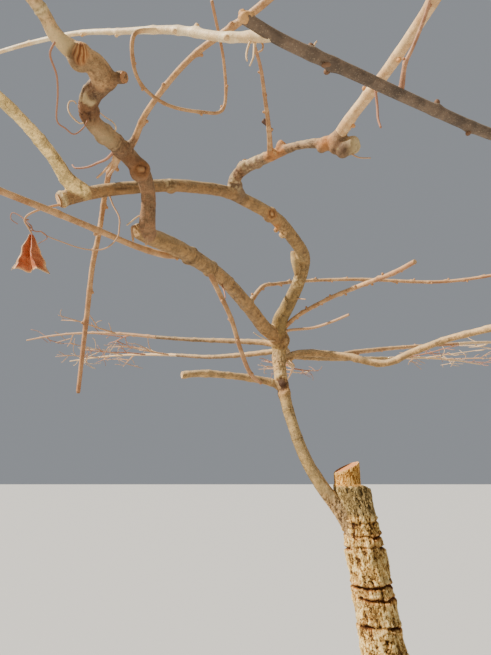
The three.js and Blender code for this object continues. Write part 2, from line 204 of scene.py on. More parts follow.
def ring_bark(height, angle, place):
    """Grooves between healed lips: how far the bark stands out, a mask of painted shadow in the grooves, and
    the scarred bands.
    """
    out = np.zeros(len(height))
    groove_shade = np.zeros(len(height))
    band = np.zeros(len(height))
    for number, (level, depth) in enumerate(zip(RINGS, RING_DEPTHS)):
        sway = (RING_SWAY * np.sin(angle + number * RING_SWAY_TURN) + 0.0042 * noise(place * 26, 40 + number)
                + 0.0022 * noise(place * 85, 50 + number))
        rise = height - level - sway
        broken = depth * (0.36 + 0.74 * ramp(noise(place * np.array([17, 17, 2]), 60 + number), -0.55, 0.25))
        cut = np.exp(-(rise / 0.0040) ** 2)
        lip = np.exp(-((rise - 0.0095) / 0.0060) ** 2) + 0.55 * np.exp(-((rise + 0.0105) / 0.0064) ** 2)
        crumbled = 0.70 + 0.85 * noise(place * 70, 80 + number)
        out += broken * (-RING_CUT * cut + RING_LIP * lip * crumbled)
        groove_shade = np.maximum(groove_shade, np.clip(broken, 0, 1) * cut)
        band = np.maximum(band, np.clip(broken, 0, 1) * np.exp(-((rise + 0.001) / 0.012) ** 2))
    return out, groove_shade, band


def trunk_bark(height, angle, bare):
    """How far the bark stands out, and the masks that its colours follow."""
    place = on_trunk(height, angle)
    frayed = ragged(place * 170, 0.42, 21)
    ringed = ramp(height, RINGED_FROM, RINGED_FROM + 0.08) * (1 - ramp(height, RINGED_TO, RINGED_TO + 0.02))
    lumps = 0.0046 * noise(place * np.array([18, 18, 12]), 3)
    lumps = lumps + 0.0030 * noise(place * np.array([42, 42, 34]), 4)
    flutes = 0.0014 * noise(place * np.array([32, 32, 3]), 9)
    plates = ramp(noise(place * np.array([62, 62, 30]) + frayed * 0.5, 14), -0.14, 0.14)
    flakes = ramp(noise(place * np.array([120, 120, 74]) + frayed * 0.5, 15), -0.12, 0.16)
    strength = ramp(noise(place * np.array([34, 34, 20]), 8), -0.6, 0.5)
    furrow = cracks(place * np.array([96, 96, 21]) + frayed, 0.26, 5) * (0.35 + 0.65 * strength)
    crevice = cracks(place * np.array([200, 200, 66]) + frayed, 0.30, 6) * (1 - 0.5 * strength)
    step = cracks(place * np.array([34, 34, 96]) + frayed, 0.22, 7) * ringed * (0.3 + 0.7 * strength)
    crumbs = noise(place * np.array([230, 230, 170]), 31)
    depth = FURROW * furrow + CREVICE * crevice + STEP * step
    ring_out, groove_shade, band = ring_bark(height, angle, place)
    texture = 0.0004 - depth + 0.0007 * crumbs + PLATE * plates + FLAKE * flakes
    pits = cracks(place * np.array([120, 120, 60]) + frayed, 0.5, 17) * 0.0016 + 0.0006 * crumbs
    out = (lumps + flutes + texture + ring_out) * (1 - bare) - pits * bare
    # The relief is dark in the cracks, furrows and pits and light on the raised plates and flakes: painted
    # shade and painted highlight that the colour ramps follow.
    relief = (0.60 - 0.62 * furrow - 0.44 * crevice - 0.42 * step + 0.08 * crumbs + 0.20 * plates
              + 0.22 * flakes + 0.13 * noise(place * np.array([50, 50, 30]), 12))
    relief = relief * (1 - bare) + (0.8 - pits / 0.0026) * bare
    return out, {"relief": np.clip(relief - groove_shade, 0, 1), "groove_shade": groove_shade, "band": band}


def trunk_rows():
    rows = list(np.arange(0, FINE_FROM, COARSE_ROW))
    rows += list(np.arange(FINE_FROM, TRUNK_TOP - FINE_ROW / 2, FINE_ROW))
    return np.array(rows + [TRUNK_TOP])


def trunk_parts():
    rows = trunk_rows()
    turn = np.linspace(0, 2 * math.pi, TRUNK_AROUND, endpoint=False)
    height = np.repeat(rows, TRUNK_AROUND)
    angle = np.tile(turn, len(rows))
    bare = above_ledge(height, angle)
    out, masks = trunk_bark(height, angle, bare)
    foot = ramp(height, 0.0, SMOOTH_FOOT)
    rim = RIM_WORN * ramp(height, TRUNK_TOP - RIM_HEIGHT, TRUNK_TOP)
    radius = trunk_plain_radius(height, angle, bare) + out * (0.35 + 0.65 * foot) - rim
    x = radius * np.cos(angle)
    y = radius * np.sin(angle)
    aslant = ramp(height, LEDGE_HEIGHT, TRUNK_TOP)
    z = height + (CUT_SLOPE[0] * x + CUT_SLOPE[1] * y) * aslant
    verts = np.stack([trunk_middle(height, bare) + x, y, z], axis=1)
    masks.update(cut=np.zeros(len(height)), height=height, bare=bare)
    return verts, grid_faces(len(rows), TRUNK_AROUND), masks, radius[-TRUNK_AROUND:]


def sawn_face(verts, faces, masks, rim_radius):
    """The sawn top: a pale rim, then wood with saw marks and checks, sunk a little towards the middle."""
    turn = np.linspace(0, 2 * math.pi, TRUNK_AROUND, endpoint=False)
    new = []
    for share in CUT_SHARES:
        radius = rim_radius * share
        x = radius * np.cos(turn)
        y = radius * np.sin(turn)
        spot = np.stack([x, y, np.zeros_like(x)], axis=1)
        wood = 1.0 if share < WOOD_FROM else 0.0
        check = np.exp(-((np.sin(turn * CHECKS / 2 + 0.7)) / 0.05) ** 2) * wood * (share > 0.2)
        sawn = SAW_MARK * np.sin((x * 0.5 + y) * 1400)
        z = TRUNK_TOP + CUT_SLOPE[0] * x + CUT_SLOPE[1] * y - WOOD_SUNK * wood - CHECK_DEPTH * check + sawn
        z = z + 0.0005 * noise(spot * 180, 7)
        new.append(np.stack([STUB_MIDDLE + x, y, z], axis=1))
    start = len(verts)
    middle = np.array([[STUB_MIDDLE, 0, TRUNK_TOP - 0.0015]])
    foot = np.array([[0.0, 0.0, 0.0]])
    everything = np.concatenate([verts] + new + [middle, foot])
    inward = np.array(grid_faces(len(CUT_SHARES) + 1, TRUNK_AROUND)) + start - TRUNK_AROUND
    faces = faces + inward.tolist()
    centre = len(everything) - 2
    last = centre - TRUNK_AROUND
    for side in range(TRUNK_AROUND):
        after = (side + 1) % TRUNK_AROUND
        faces.append([last + side, last + after, centre])
        faces.append([after, side, centre + 1])
    added = len(everything) - start
    cut = np.ones(added)
    share_of = np.repeat(CUT_SHARES, TRUNK_AROUND)
    cut[:len(share_of)] = np.where(share_of > PALE_RIM_FROM, 0.5, 1.0)
    cut[-1] = 0.0
    masks = {key: np.concatenate([values, np.zeros(added)]) for key, values in masks.items()}
    masks["cut"][start:] = cut
    masks["height"][start:-1] = TRUNK_TOP
    return everything, faces, masks


def new_material(name):
    material = bpy.data.materials.new(name)
    material.use_nodes = True
    return material, material.node_tree, material.node_tree.nodes["Principled BSDF"]


def add_node(tree, kind, inputs=None, **settings):
    """A node with its settings, and each input given as a value or as the socket that feeds it."""
    node = tree.nodes.new(kind)
    for key, value in settings.items():
        setattr(node, key, value)
    for key, value in (inputs or {}).items():
        if isinstance(value, bpy.types.NodeSocket):
            tree.links.new(value, node.inputs[key])
        else:
            node.inputs[key].default_value = value
    return node


def mask_of(tree, name):
    return add_node(tree, "ShaderNodeAttribute", attribute_name=name).outputs["Fac"]


def blend_colour(tree, share, low, high):
    """Mixes two colours, each a value or a socket."""
    node = add_node(tree, "ShaderNodeMix", data_type="RGBA", clamp_factor=True)
    for index, value in ((0, share), (6, low), (7, high)):
        if isinstance(value, bpy.types.NodeSocket):
            tree.links.new(value, node.inputs[index])
        else:
            node.inputs[index].default_value = value
    return node.outputs[2]


def arithmetic(tree, operation, first, second=0.0):
    return add_node(tree, "ShaderNodeMath", {0: first, 1: second}, operation=operation).outputs[0]


def spread(tree, value, low, high, out_low=0.0, out_high=1.0):
    return add_node(tree, "ShaderNodeMapRange", {
        "Value": value, "From Min": low, "From Max": high, "To Min": out_low, "To Max": out_high,
    }, interpolation_type="SMOOTHSTEP").outputs["Result"]


def between(tree, mask, low, high):
    """A mask's 0 to 1 eased into another range."""
    return spread(tree, mask, 0.0, 1.0, low, high)


def lighten(tree, base, amount):
    """A colour made lighter or darker by a factor that varies over the surface."""
    return add_node(tree, "ShaderNodeVectorMath", {"Vector": base, "Scale": amount},
                    operation="SCALE").outputs["Vector"]


def glaze(tree, base, tone, mask, strength):
    """Lays a tone over a colour where a mask says, no more thickly than its strength."""
    return blend_colour(tree, arithmetic(tree, "MULTIPLY", mask, strength), base, tone)


def roughen(tree, shader, height, strength, distance):
    """Fine relief that the mesh is too coarse to hold."""
    bump = add_node(tree, "ShaderNodeBump", {"Height": height, "Strength": strength, "Distance": distance})
    tree.links.new(bump.outputs["Normal"], shader.inputs["Normal"])


def colour(red, green, blue):
    """A base colour from the 0 to 255 values that it has in daylight."""
    return tuple((channel / 255) ** DAYLIGHT_GAMMA for channel in (red, green, blue)) + (1.0,)


def shades(tree, value, tones):
    """A run of colours that a value from 0 to 1 passes through, evenly spaced."""
    node = add_node(tree, "ShaderNodeValToRGB", {"Fac": value})
    stops = node.color_ramp.elements
    for _ in range(len(tones) - 2):
        stops.new(0.5)
    for index, tone in enumerate(tones):
        stops[index].position = index / (len(tones) - 1)
        stops[index].color = tone
    return node.outputs["Color"]


def new_group(name, inputs, outputs):
    """An empty shader group with named float, vector or colour sockets."""
    kinds = {"value": "NodeSocketFloat", "vector": "NodeSocketVector", "colour": "NodeSocketColor"}
    group = bpy.data.node_groups.new(name, "ShaderNodeTree")
    for key, kind in inputs:
        group.interface.new_socket(key, in_out="INPUT", socket_type=kinds[kind])
    for key, kind in outputs:
        group.interface.new_socket(key, in_out="OUTPUT", socket_type=kinds[kind])
    return group, group.nodes.new("NodeGroupInput"), group.nodes.new("NodeGroupOutput")


def weathered_group():
    """Blotches, fine specks, and a mask of the upper side, which is partly bleached as old wood outdoors is
    and partly a painted highlight from light falling from above.
    """
    group, start, end = new_group(
        "weathered_wood", [("Blotch Size", "value"), ("Speck Size", "value")],
        [("Blotches", "value"), ("Specks", "value"), ("Dots", "value"), ("Bleached And Lit Top", "value")])
    place = add_node(group, "ShaderNodeNewGeometry")
    blotch = add_node(group, "ShaderNodeTexNoise", {
        "Vector": place.outputs["Position"], "Scale": start.outputs["Blotch Size"], "Detail": 5.0,
        "Roughness": 0.6})
    speck = add_node(group, "ShaderNodeTexNoise", {
        "Vector": place.outputs["Position"], "Scale": start.outputs["Speck Size"], "Detail": 3.0,
        "Roughness": 0.7})
    dots = add_node(group, "ShaderNodeTexVoronoi", {
        "Vector": place.outputs["Position"], "Scale": start.outputs["Speck Size"]})
    up = add_node(group, "ShaderNodeSeparateXYZ", {"Vector": place.outputs["Normal"]})
    group.links.new(spread(group, blotch.outputs["Fac"], 0.36, 0.64), end.inputs["Blotches"])
    group.links.new(spread(group, speck.outputs["Fac"], 0.38, 0.64), end.inputs["Specks"])
    group.links.new(spread(group, dots.outputs["Distance"], 0.34, 0.20), end.inputs["Dots"])
    group.links.new(spread(group, up.outputs["Z"], -0.4, 0.9), end.inputs["Bleached And Lit Top"])
    return group


def lichen_group():
    """Ragged patches of lichen, thicker where Amount is high."""
    group, start, end = new_group("lichen", [("Patch Size", "value"), ("Amount", "value")],
                                  [("Mask", "value")])
    place = add_node(group, "ShaderNodeNewGeometry")
    patch = add_node(group, "ShaderNodeTexNoise", {
        "Vector": place.outputs["Position"], "Scale": start.outputs["Patch Size"], "Detail": 6.0,
        "Roughness": 0.68})
    level = arithmetic(group, "ADD", patch.outputs["Fac"], start.outputs["Amount"])
    group.links.new(spread(group, level, 0.60, 0.70), end.inputs["Mask"])
    return group


weathered = weathered_group()
lichen = lichen_group()


def use_group(tree, group, **inputs):
    node = tree.nodes.new("ShaderNodeGroup")
    node.node_tree = group
    for key, value in inputs.items():
        socket = node.inputs[key.replace("_", " ")]
        if isinstance(value, bpy.types.NodeSocket):
            tree.links.new(value, socket)
        else:
            socket.default_value = value
    return node


def old_bark_material():
    material, tree, shader = new_material("old_ringed_bark")
    age = use_group(tree, weathered, Blotch_Size=19.0, Speck_Size=430.0)
    growth = use_group(tree, lichen, Patch_Size=30.0, Amount=-0.02)
    relief = mask_of(tree, "relief")
    height = mask_of(tree, "height")
    cut = mask_of(tree, "cut")
    speckled = arithmetic(tree, "ADD", relief, between(tree, age.outputs["Specks"], -0.24, 0.20))
    # These ramps run from dark to cream with the relief, painting shade in the cracks and a highlight on the
    # raised bark over its own tan.
    corky = shades(tree, speckled, [
        colour(52, 32, 14), colour(112, 76, 36), colour(186, 142, 76), colour(222, 184, 108),
        colour(250, 226, 162)])
    furrowed = shades(tree, speckled, [
        colour(34, 26, 14), colour(72, 58, 34), colour(116, 96, 58), colour(146, 122, 78),
        colour(190, 164, 112)])
    bare_wood = shades(tree, speckled, [
        colour(96, 56, 20), colour(164, 108, 44), colour(212, 156, 74), colour(238, 196, 120)])
    shank = arithmetic(tree, "MULTIPLY", spread(tree, height, RINGED_TO - 0.004, RINGED_TO + 0.018), 0.92)
    bark = blend_colour(tree, shank, corky, furrowed)
    low = spread(tree, height, 0.60, 0.20, 0.0, 0.8)
    bark = blend_colour(tree, low, bark, furrowed)
    warm = arithmetic(tree, "MULTIPLY", mask_of(tree, "band"),
                      between(tree, age.outputs["Blotches"], 0.30, 0.75))
    scarred = shades(tree, speckled, [colour(60, 30, 12), colour(146, 84, 38), colour(206, 132, 66),
                                      colour(234, 176, 108)])
    bark = blend_colour(tree, warm, bark, scarred)
    bark = glaze(tree, bark, colour(196, 184, 104), growth.outputs["Mask"], 0.35)
    bark = blend_colour(tree, mask_of(tree, "bare"), bark, bare_wood)
    # Painted shadow in the ring grooves.
    bark = blend_colour(tree, spread(tree, mask_of(tree, "groove_shade"), 0.30, 1.0, 0.0, 0.85), bark,
                        colour(84, 44, 18))
    bark = lighten(tree, bark, between(tree, age.outputs["Blotches"], 0.84, 1.12))
    wood = blend_colour(tree, age.outputs["Specks"], colour(206, 128, 74), colour(230, 160, 104))
    bark = blend_colour(tree, spread(tree, cut, 0.2, 0.5), bark, colour(246, 196, 140))
    bark = blend_colour(tree, spread(tree, cut, 0.6, 0.9), bark, wood)
    tree.links.new(bark, shader.inputs["Base Color"])
    tree.links.new(between(tree, age.outputs["Specks"], 0.78, 0.95), shader.inputs["Roughness"])
    shader.inputs["Specular IOR Level"].default_value = 0.2
    roughen(tree, shader, age.outputs["Specks"], 0.6, 0.0014)
    return material


trunk_verts, trunk_faces, trunk_masks, trunk_rim = trunk_parts()
trunk_verts, trunk_faces, trunk_masks = sawn_face(trunk_verts, trunk_faces, trunk_masks, trunk_rim)
trunk = make_piece("trunk_bark", trunk_verts, trunk_faces, [old_bark_material()], trunk_masks)
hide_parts("trunk")
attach(trunk, "root")

# The leader and the arms
# Wood that grew from the trunk's shoulder and was trained out overhead: brown bark, wrinkled at the
# nodes, with healed wounds and stubs where canes were cut away. Forks have grown together.
OLD_ARMS = ["leader", "left_arm", "left_rise", "left_outer", "right_arm", "right_outer", "left_fork", "spur"]
# Each limb has its girths at the points of its way, in millimetres. The first point lies inside the
# limb that it grows from, or the limb follows on from another, end to end.
LIMBS = {
    "leader": {"girths": [70, 58, 50, 43, 43, 50, 60], "way": [
        [-158, -10, 1205], [-217, -16, 1307], [-303, -17, 1423], [-363, -24, 1537], [-412, -14, 1700],
        [-437, 4, 1850], [-440, 16, 1962]]},
    "left_arm": {"follows": "leader", "girths": [60, 54, 48, 44, 43, 40, 34], "way": [
        [-499, -85, 1988], [-563, -262, 2018], [-642, -520, 2025], [-728, -753, 2006],
        [-789, -863, 1994], [-812, -896, 1992]]},
    "left_rise": {"girths": [34, 34, 31, 35, 34, 31, 34, 36], "way": [
        [-793, -872, 1994], [-786, -914, 1999], [-776, -968, 2042], [-782, -1022, 2063],
        [-812, -1090, 2075], [-841, -1163, 2074], [-826, -1210, 2083], [-788, -1243, 2091]]},
    "left_outer": {"girths": [34, 31, 27, 21, 18, 16, 15], "way": [
        [-796, -1238, 2088], [-805, -1272, 2091], [-825, -1288, 2094], [-850, -1310, 2105],
        [-865, -1355, 2119], [-925, -1465, 2135], [-1000, -1590, 2160]]},
    "right_arm": {"girths": [56, 57, 53, 47, 44, 42, 39, 35], "way": [
        [-441, -2, 1975], [-433, -48, 2030], [-411, -104, 2062], [-375, -208, 2127], [-369, -325, 2173],
        [-425, -459, 2189], [-488, -575, 2196], [-571, -686, 2187]]},
    "right_outer": {"follows": "right_arm", "girths": [35, 32, 30, 29, 30, 31], "way": [
        [-629, -756, 2174], [-738, -848, 2134], [-848, -918, 2085], [-915, -963, 2044],
        [-957, -984, 2018]]},
    "left_fork": {"girths": [32, 31, 25, 21, 19, 15], "way": [
        [-912, -962, 2046], [-934, -1004, 2054], [-944, -1075, 2066], [-958, -1215, 2058],
        [-1020, -1390, 2056], [-1125, -1530, 2066]]},
    "spur": {"girths": [34, 29, 31, 25, 19, 27, 31, 33], "way": [
        [-589, -714, 2182], [-600, -750, 2204], [-570, -790, 2220], [-490, -869, 2211],
        [-438, -916, 2199], [-384, -953, 2176], [-362, -961, 2163], [-340, -969, 2162]]},
    "spur_cane": {"girths": [28, 24, 21, 20, 18, 14], "way": [
        [-374, -955, 2175], [-347, -1020, 2194], [-300, -1128, 2213], [-260, -1257, 2230],
        [-228, -1390, 2246], [-190, -1520, 2262]]},
    "rising_cane": {"girths": [22, 15, 11, 10, 12, 12, 11], "way": [
        [-804, -1075, 2074], [-783, -1089, 2083], [-741, -1161, 2097], [-654, -1275, 2098],
        [-545, -1368, 2099], [-470, -1450, 2110], [-400, -1590, 2132]]},
    "cross_arm": {"girths": [34, 31, 29, 28, 26, 24, 24, 24, 25], "way": [
        [-437, 6, 1880], [-398, 24, 1893], [-335, 39, 1913], [-180, 13, 1896], [-40, -32, 1857],
        [67, -90, 1893], [178, -151, 1927], [278, -257, 1938], [360, -385, 1950]]},
    "cross_turn": {"follows": "cross_arm", "girths": [25, 25, 24, 22, 20], "way": [
        [405, -570, 1968], [370, -790, 1985], [245, -990, 1997], [95, -1125, 2003]]},
    "near_cane": {"follows": "cross_turn", "girths": [20, 19, 19, 18, 18, 17, 16], "way": [
        [-60, -1187, 2001], [-176, -1222, 2000], [-309, -1289, 2000], [-425, -1359, 1992],
        [-520, -1412, 1989], [-572, -1438, 1999]]},
    "side_cane": {"girths": [13, 12, 11, 8, 7, 6, 5], "way": [
        [-536, -1421, 1990], [-598, -1396, 2014], [-665, -1366, 2056], [-747, -1333, 2088],
        [-840, -1287, 2130], [-979, -1227, 2156], [-1130, -1160, 2166]]},
    "upright_shoot": {"girths": [9, 7, 6, 6, 5, 4], "way": [
        [-350, -1314, 1999], [-350, -1337, 2025], [-343, -1353, 2040], [-334, -1375, 2062],
        [-322, -1430, 2100], [-290, -1550, 2125]]},
    "curl": {"girths": [7, 7, 6, 6, 6, 6, 5, 5], "way": [
        [-692, -1356, 2067], [-718, -1372, 2040], [-716, -1345, 1998], [-683, -1320, 1978],
        [-634, -1300, 1980], [-602, -1292, 1993], [-600, -1330, 2035], [-613, -1402, 2065]]},
    "low_cane": {"girths": [18, 17, 15, 14, 14, 13, 11], "way": [
        [-722, -738, 2008], [-767, -767, 1990], [-836, -808, 1996], [-890, -883, 1994],
        [-962, -996, 1986], [-1060, -1120, 1984], [-1185, -1245, 2004]]},
    "tied_cane": {"girths": [16, 11, 8, 6, 5], "way": [
        [-509, -850, 2214], [-519, -970, 2203], [-534, -1123, 2156], [-545, -1236, 2113],
        [-557, -1328, 2068]]},
    "hanging_cane": {"girths": [18, 14, 13, 13, 13, 12], "way": [
        [-678, -625, 2020], [-650, -590, 1965], [-612, -535, 1894], [-586, -464, 1821],
        [-556, -395, 1758], [-521, -348, 1734]]},
    "back_cane": {"girths": [18, 15, 13, 13, 13, 13, 12], "way": [
        [-558, -265, 2024], [-509, -219, 2102], [-458, -146, 2140], [-320, -17, 2201],
        [-100, -15, 2208], [200, -45, 2186], [420, -125, 2190]]},
    "front_cane": {"girths": [20, 16, 15, 15, 15, 14], "way": [
        [-440, 0, 1978], [-375, -75, 2031], [-272, -207, 2060], [-188, -352, 2059], [-123, -494, 2047],
        [-84, -585, 2048]]},
    "pruned_arm": {"girths": [32, 28, 27, 26, 26, 25], "way": [
        [-424, -8, 1764], [-464, -9, 1785], [-530, -33, 1796], [-591, -55, 1802], [-718, -118, 1803],
        [-797, -156, 1791]]},
    "long_hanger": {"girths": [16, 14, 12, 12, 12, 12, 12, 12, 10], "way": [
        [-812, -1092, 2073], [-826, -1048, 2068], [-849, -998, 2080], [-873, -935, 2107],
        [-903, -858, 2094], [-916, -834, 2020], [-935, -805, 1940], [-953, -760, 1845],
        [-978, -700, 1659]]},
    "right_cane": {"girths": [22, 18, 17, 15], "way": [
        [330, -337, 1946], [400, -330, 1962], [560, -380, 1984], [700, -450, 2000]]},
    "right_front_cane": {"girths": [20, 18, 16, 14], "way": [
        [397, -680, 1976], [450, -735, 1988], [570, -830, 2004], [690, -940, 2022]]},
    "right_back_cane": {"girths": [22, 20, 17, 15, 14], "way": [
        [-190, 14, 1897], [-120, 80, 1925], [60, 170, 1962], [230, 235, 1988], [400, 290, 2010]]},
    "back_arm": {"girths": [38, 35, 32, 29, 27, 24], "way": [
        [-438, 8, 1918], [-424, 70, 1942], [-400, 210, 1966], [-362, 430, 1984], [-340, 660, 2000],
        [-300, 900, 2024]]},
    "back_left_arm": {"girths": [26, 25, 22, 19, 16], "way": [
        [-400, 215, 1966], [-450, 300, 1975], [-600, 420, 1984], [-760, 540, 2000], [-930, 640, 2030]]},
    "left_back_arm": {"girths": [26, 24, 20, 17, 15], "way": [
        [-438, 14, 1940], [-500, 60, 1962], [-640, 130, 1985], [-800, 170, 2000], [-960, 190, 2016]]},
    "back_right_arm": {"girths": [26, 25, 22, 19, 16], "way": [
        [-362, 428, 1984], [-300, 510, 1992], [-130, 620, 2006], [60, 700, 2024], [230, 800, 2046]]},
}
# Masses of twigs: name, the bough they carry on from, seed, length, turn in degrees, lift, half width.
MASSES = [
    ("front_left_twigs", "left_outer", 3, 640, -14, 70, 250),
    ("left_twigs", "left_fork", 8, 620, 22, 90, 230),
    ("far_left_twigs", "low_cane", 21, 660, 34, 120, 260),
    ("front_twigs", "rising_cane", 5, 640, 10, 90, 270),
    ("front_right_twigs", "spur_cane", 14, 620, -22, 40, 250),
    ("right_front_twigs", "right_front_cane", 17, 620, 18, 90, 230),
    ("right_twigs", "back_cane", 9, 720, -16, 60, 260),
    ("far_right_twigs", "right_cane", 30, 640, 14, 110, 250),
    ("right_back_twigs", "right_back_cane", 33, 640, 10, 90, 240),
    ("left_back_twigs", "left_back_arm", 19, 640, -8, 100, 230),
    ("back_left_twigs", "back_left_arm", 12, 700, 16, 90, 280),
    ("back_twigs", "back_arm", 26, 640, 12, 90, 260),
    ("back_right_twigs", "back_right_arm", 6, 700, -12, 90, 280),
]
STEM_STEPS = 5
# How finely the arms are fused into one skin, and how they swell at their feet and at a cane's collar.
ARM_VOXEL = 0.0031
SMOOTHING_PASSES = 4
COLLAR_LENGTH = 0.030
ROOM_FOR_BARK = 0.0004
FOOT_SWELL = 0.24
FOOT_SWELL_LENGTH = 0.045
# How far along, in metres, left_rise thins and left_outer is stout for a while. The last value is
# the share of its girth that it loses or gains.
RISE_THINS = (0.42, 0.46, 0.16)
OUTER_STOUT = (0.05, 0.08, 0.12, 0.30, 0.12)
# The old trunk's cracked bark goes up over the leader's foot, and ends between these heights.
ROUGH_FOOT = (1.34, 1.40)
FOOT_TONE = np.array(colour(176, 138, 88)[:3])
NO_LICHEN = -0.10
# What each row of way_samples holds.
MIDDLE = slice(0, 3)
RADIUS = 3
HEADING = slice(4, 7)
NORMAL = slice(7, 10)
ACROSS = slice(10, 13)
RUN = 13
LOOKS = slice(14, 18)
OLIVE = colour(150, 120, 68)
MOSS_BROWN = colour(112, 90, 46)
WARM_BROWN = colour(154, 114, 68)
LEFT_BROWN = colour(146, 110, 66)
RED_BROWN = colour(124, 86, 58)
DARK_RED_BROWN = colour(104, 70, 48)
DARK_BROWN = colour(134, 98, 60)
TAN = colour(184, 146, 96)
CREAM = colour(244, 212, 156)
LIGHT_CREAM = colour(255, 220, 142)
GREY_BROWN = colour(128, 100, 76)
SUNNED_BROWN = colour(164, 122, 80)
# Each arm's colour where it starts and where it ends, and how much lichen it carries. The cream on
# left_outer and left_fork is partly the bark's own pale colour and partly a painted highlight for their
# sunlit sides.
ARM_LOOKS = {
    "leader": (OLIVE, OLIVE, 0.0), "left_arm": (WARM_BROWN, LEFT_BROWN, 0.0),
    "left_rise": (RED_BROWN, DARK_RED_BROWN, 0.0), "left_outer": (SUNNED_BROWN, CREAM, 0.08),
    "right_arm": (MOSS_BROWN, WARM_BROWN, 0.02), "right_outer": (DARK_BROWN, DARK_BROWN, 0.0),
    "left_fork": (LIGHT_CREAM, LIGHT_CREAM, 0.0), "spur": (GREY_BROWN, GREY_BROWN, 0.06),
}


def limb_guides(name):
    limb = LIMBS[name]
    start = [limb_guides(limb["follows"])[-1]] if "follows" in limb else []
    return np.array(list(start) + [np.array(point) * MM for point in limb["way"]])


def turned(direction, degrees):
    angle = math.radians(degrees)
    x, y, z = direction
    return np.array([x * math.cos(angle) - y * math.sin(angle),
                     x * math.sin(angle) + y * math.cos(angle), z])


def unit(direction):
    return direction / np.linalg.norm(direction)


def stem_guides(bough, length, turn, lift):
    """A mass's stem carries on from its bough's tip, swinging evenly to one side as it climbs."""
    guides = limb_guides(bough)
    heading = guides[-1] - guides[-2]
    heading = unit(np.array([heading[0], heading[1], 0.0]))
    stem = [guides[-1]]
    for step in range(1, STEM_STEPS + 1):
        heading = turned(heading, turn / STEM_STEPS)
        following = stem[-1] + heading * length / STEM_STEPS
        following[2] += lift / STEM_STEPS * math.cos(step * math.pi / (STEM_STEPS + 2))
        stem.append(following)
    return np.array(stem)


stems = {bough: stem_guides(bough, length * MM, turn, lift * MM)
         for _, bough, _, length, turn, lift, _ in MASSES}


def smooth_way(guides, before, after, spacing):
    """The source's curve through guide points: its points, and how far along the guides each one is."""
    first = before if before is not None else 2 * guides[0] - guides[1]
    last = after if after is not None else 2 * guides[-1] - guides[-2]
    knots = np.concatenate([[first], guides, [last]])
    points = []
    along = []
    for index in range(len(guides) - 1):
        a, b, c, d = knots[index:index + 4]
        steps = max(1, round(np.linalg.norm(c - b) / spacing))
        for step in range(steps + (index == len(guides) - 2)):
            t = step / steps
            points.append(0.5 * (2 * b + (c - a) * t + (2 * a - 5 * b + 4 * c - d) * t ** 2
                                 + (3 * b - a - 3 * c + d) * t ** 3))
            along.append(index + t)
    return np.array(points), np.array(along)


def limb_way(name, spacing):
    """A limb's middle line and its radius at each point. Its neighbours end to end steer its ends."""
    guides = limb_guides(name)
    parent = LIMBS[name].get("follows")
    child = next((other for other, limb in LIMBS.items() if limb.get("follows") == name), None)
    before = limb_guides(parent)[-2] if parent else None
    after = limb_guides(child)[1] if child else (stems[name][1] if name in stems else None)
    points, along = smooth_way(guides, before, after, spacing)
    girths = np.array(LIMBS[name]["girths"], dtype=float)
    return points, np.interp(along, range(len(girths)), girths) * MM / 2


def way_frames(points):
    """Headings, and two directions across the way that turn with it without twist."""
    headings = np.gradient(points, axis=0)
    headings /= np.linalg.norm(headings, axis=1)[:, None]
    normals = np.zeros_like(points)
    normal = np.cross([0.0, 0.0, 1.0], headings[0])
    if np.linalg.norm(normal) < 0.1:
        normal = np.array([1.0, 0.0, 0.0])
    for index, heading in enumerate(headings):
        normal = unit(normal - heading * np.dot(normal, heading))
        normals[index] = normal
    return headings, normals, np.cross(headings, normals)


def run_lengths(points):
    steps = np.linalg.norm(np.diff(points, axis=0), axis=1)
    return np.concatenate([[0.0], np.cumsum(steps)])


def tube(points, radii, sides, shape=None):
    """A closed tube round a way. shape(run, angle, radius) gives each corner's own radius."""
    headings, normals, across = way_frames(points)
    turn = np.linspace(0, 2 * math.pi, sides, endpoint=False)
    run = run_lengths(points)
    radius = np.repeat(radii[:, None], sides, axis=1)
    if shape is not None:
        radius = shape(run[:, None], turn[None, :], radius)
    ring = (normals[:, None, :] * np.cos(turn)[None, :, None]
            + across[:, None, :] * np.sin(turn)[None, :, None])
    verts = points[:, None, :] + ring * radius[:, :, None]
    faces = grid_faces(len(points), sides)
    last = (len(points) - 1) * sides
    faces.append(list(range(sides - 1, -1, -1)))
    faces.append(list(range(last, last + sides)))
    return verts.reshape(-1, 3), faces


def join_parts(parts):
    """One list of points and faces from several."""
    verts = []
    faces = []
    count = 0
    for part_verts, part_faces in parts:
        verts.append(part_verts)
        faces.extend([[corner + count for corner in face] for face in part_faces])
        count += len(part_verts)
    return np.concatenate(verts), faces


def sideways(axis):
    """Two directions across an axis."""
    helper = np.array([0.0, 0.0, 1.0]) if abs(axis[2]) < 0.9 else np.array([1.0, 0.0, 0.0])
    one = unit(np.cross(axis, helper))
    return one, np.cross(axis, one)


def ball(centre, radii, axis, rings=8, sides=12):
    """A closed egg: radii across and along its axis."""
    axis = unit(np.asarray(axis, dtype=float))
    one, two = sideways(axis)
    turn = np.linspace(0, 2 * math.pi, sides, endpoint=False)
    rows = []
    for lift in np.linspace(-math.pi / 2 * 0.94, math.pi / 2 * 0.94, rings):
        rows.append(centre + axis * math.sin(lift) * radii[1] + math.cos(lift) * radii[0]
                    * (one * np.cos(turn)[:, None] + two * np.sin(turn)[:, None]))
    last = (rings - 1) * sides
    faces = grid_faces(rings, sides)
    faces.append(list(range(sides - 1, -1, -1)))
    faces.append(list(range(last, last + sides)))
    return np.concatenate(rows), faces


def uneven(seed, amount):
    """A limb is never quite round: it swells and flattens a little as it goes."""
    def shape(run, turn, radius):
        spot = np.stack(np.broadcast_arrays(np.cos(turn) * 0.8, np.sin(turn) * 0.8, run * 13), axis=-1)
        return radius * (1 + amount * noise(spot.reshape(-1, 3), seed).reshape(radius.shape))
    return shape


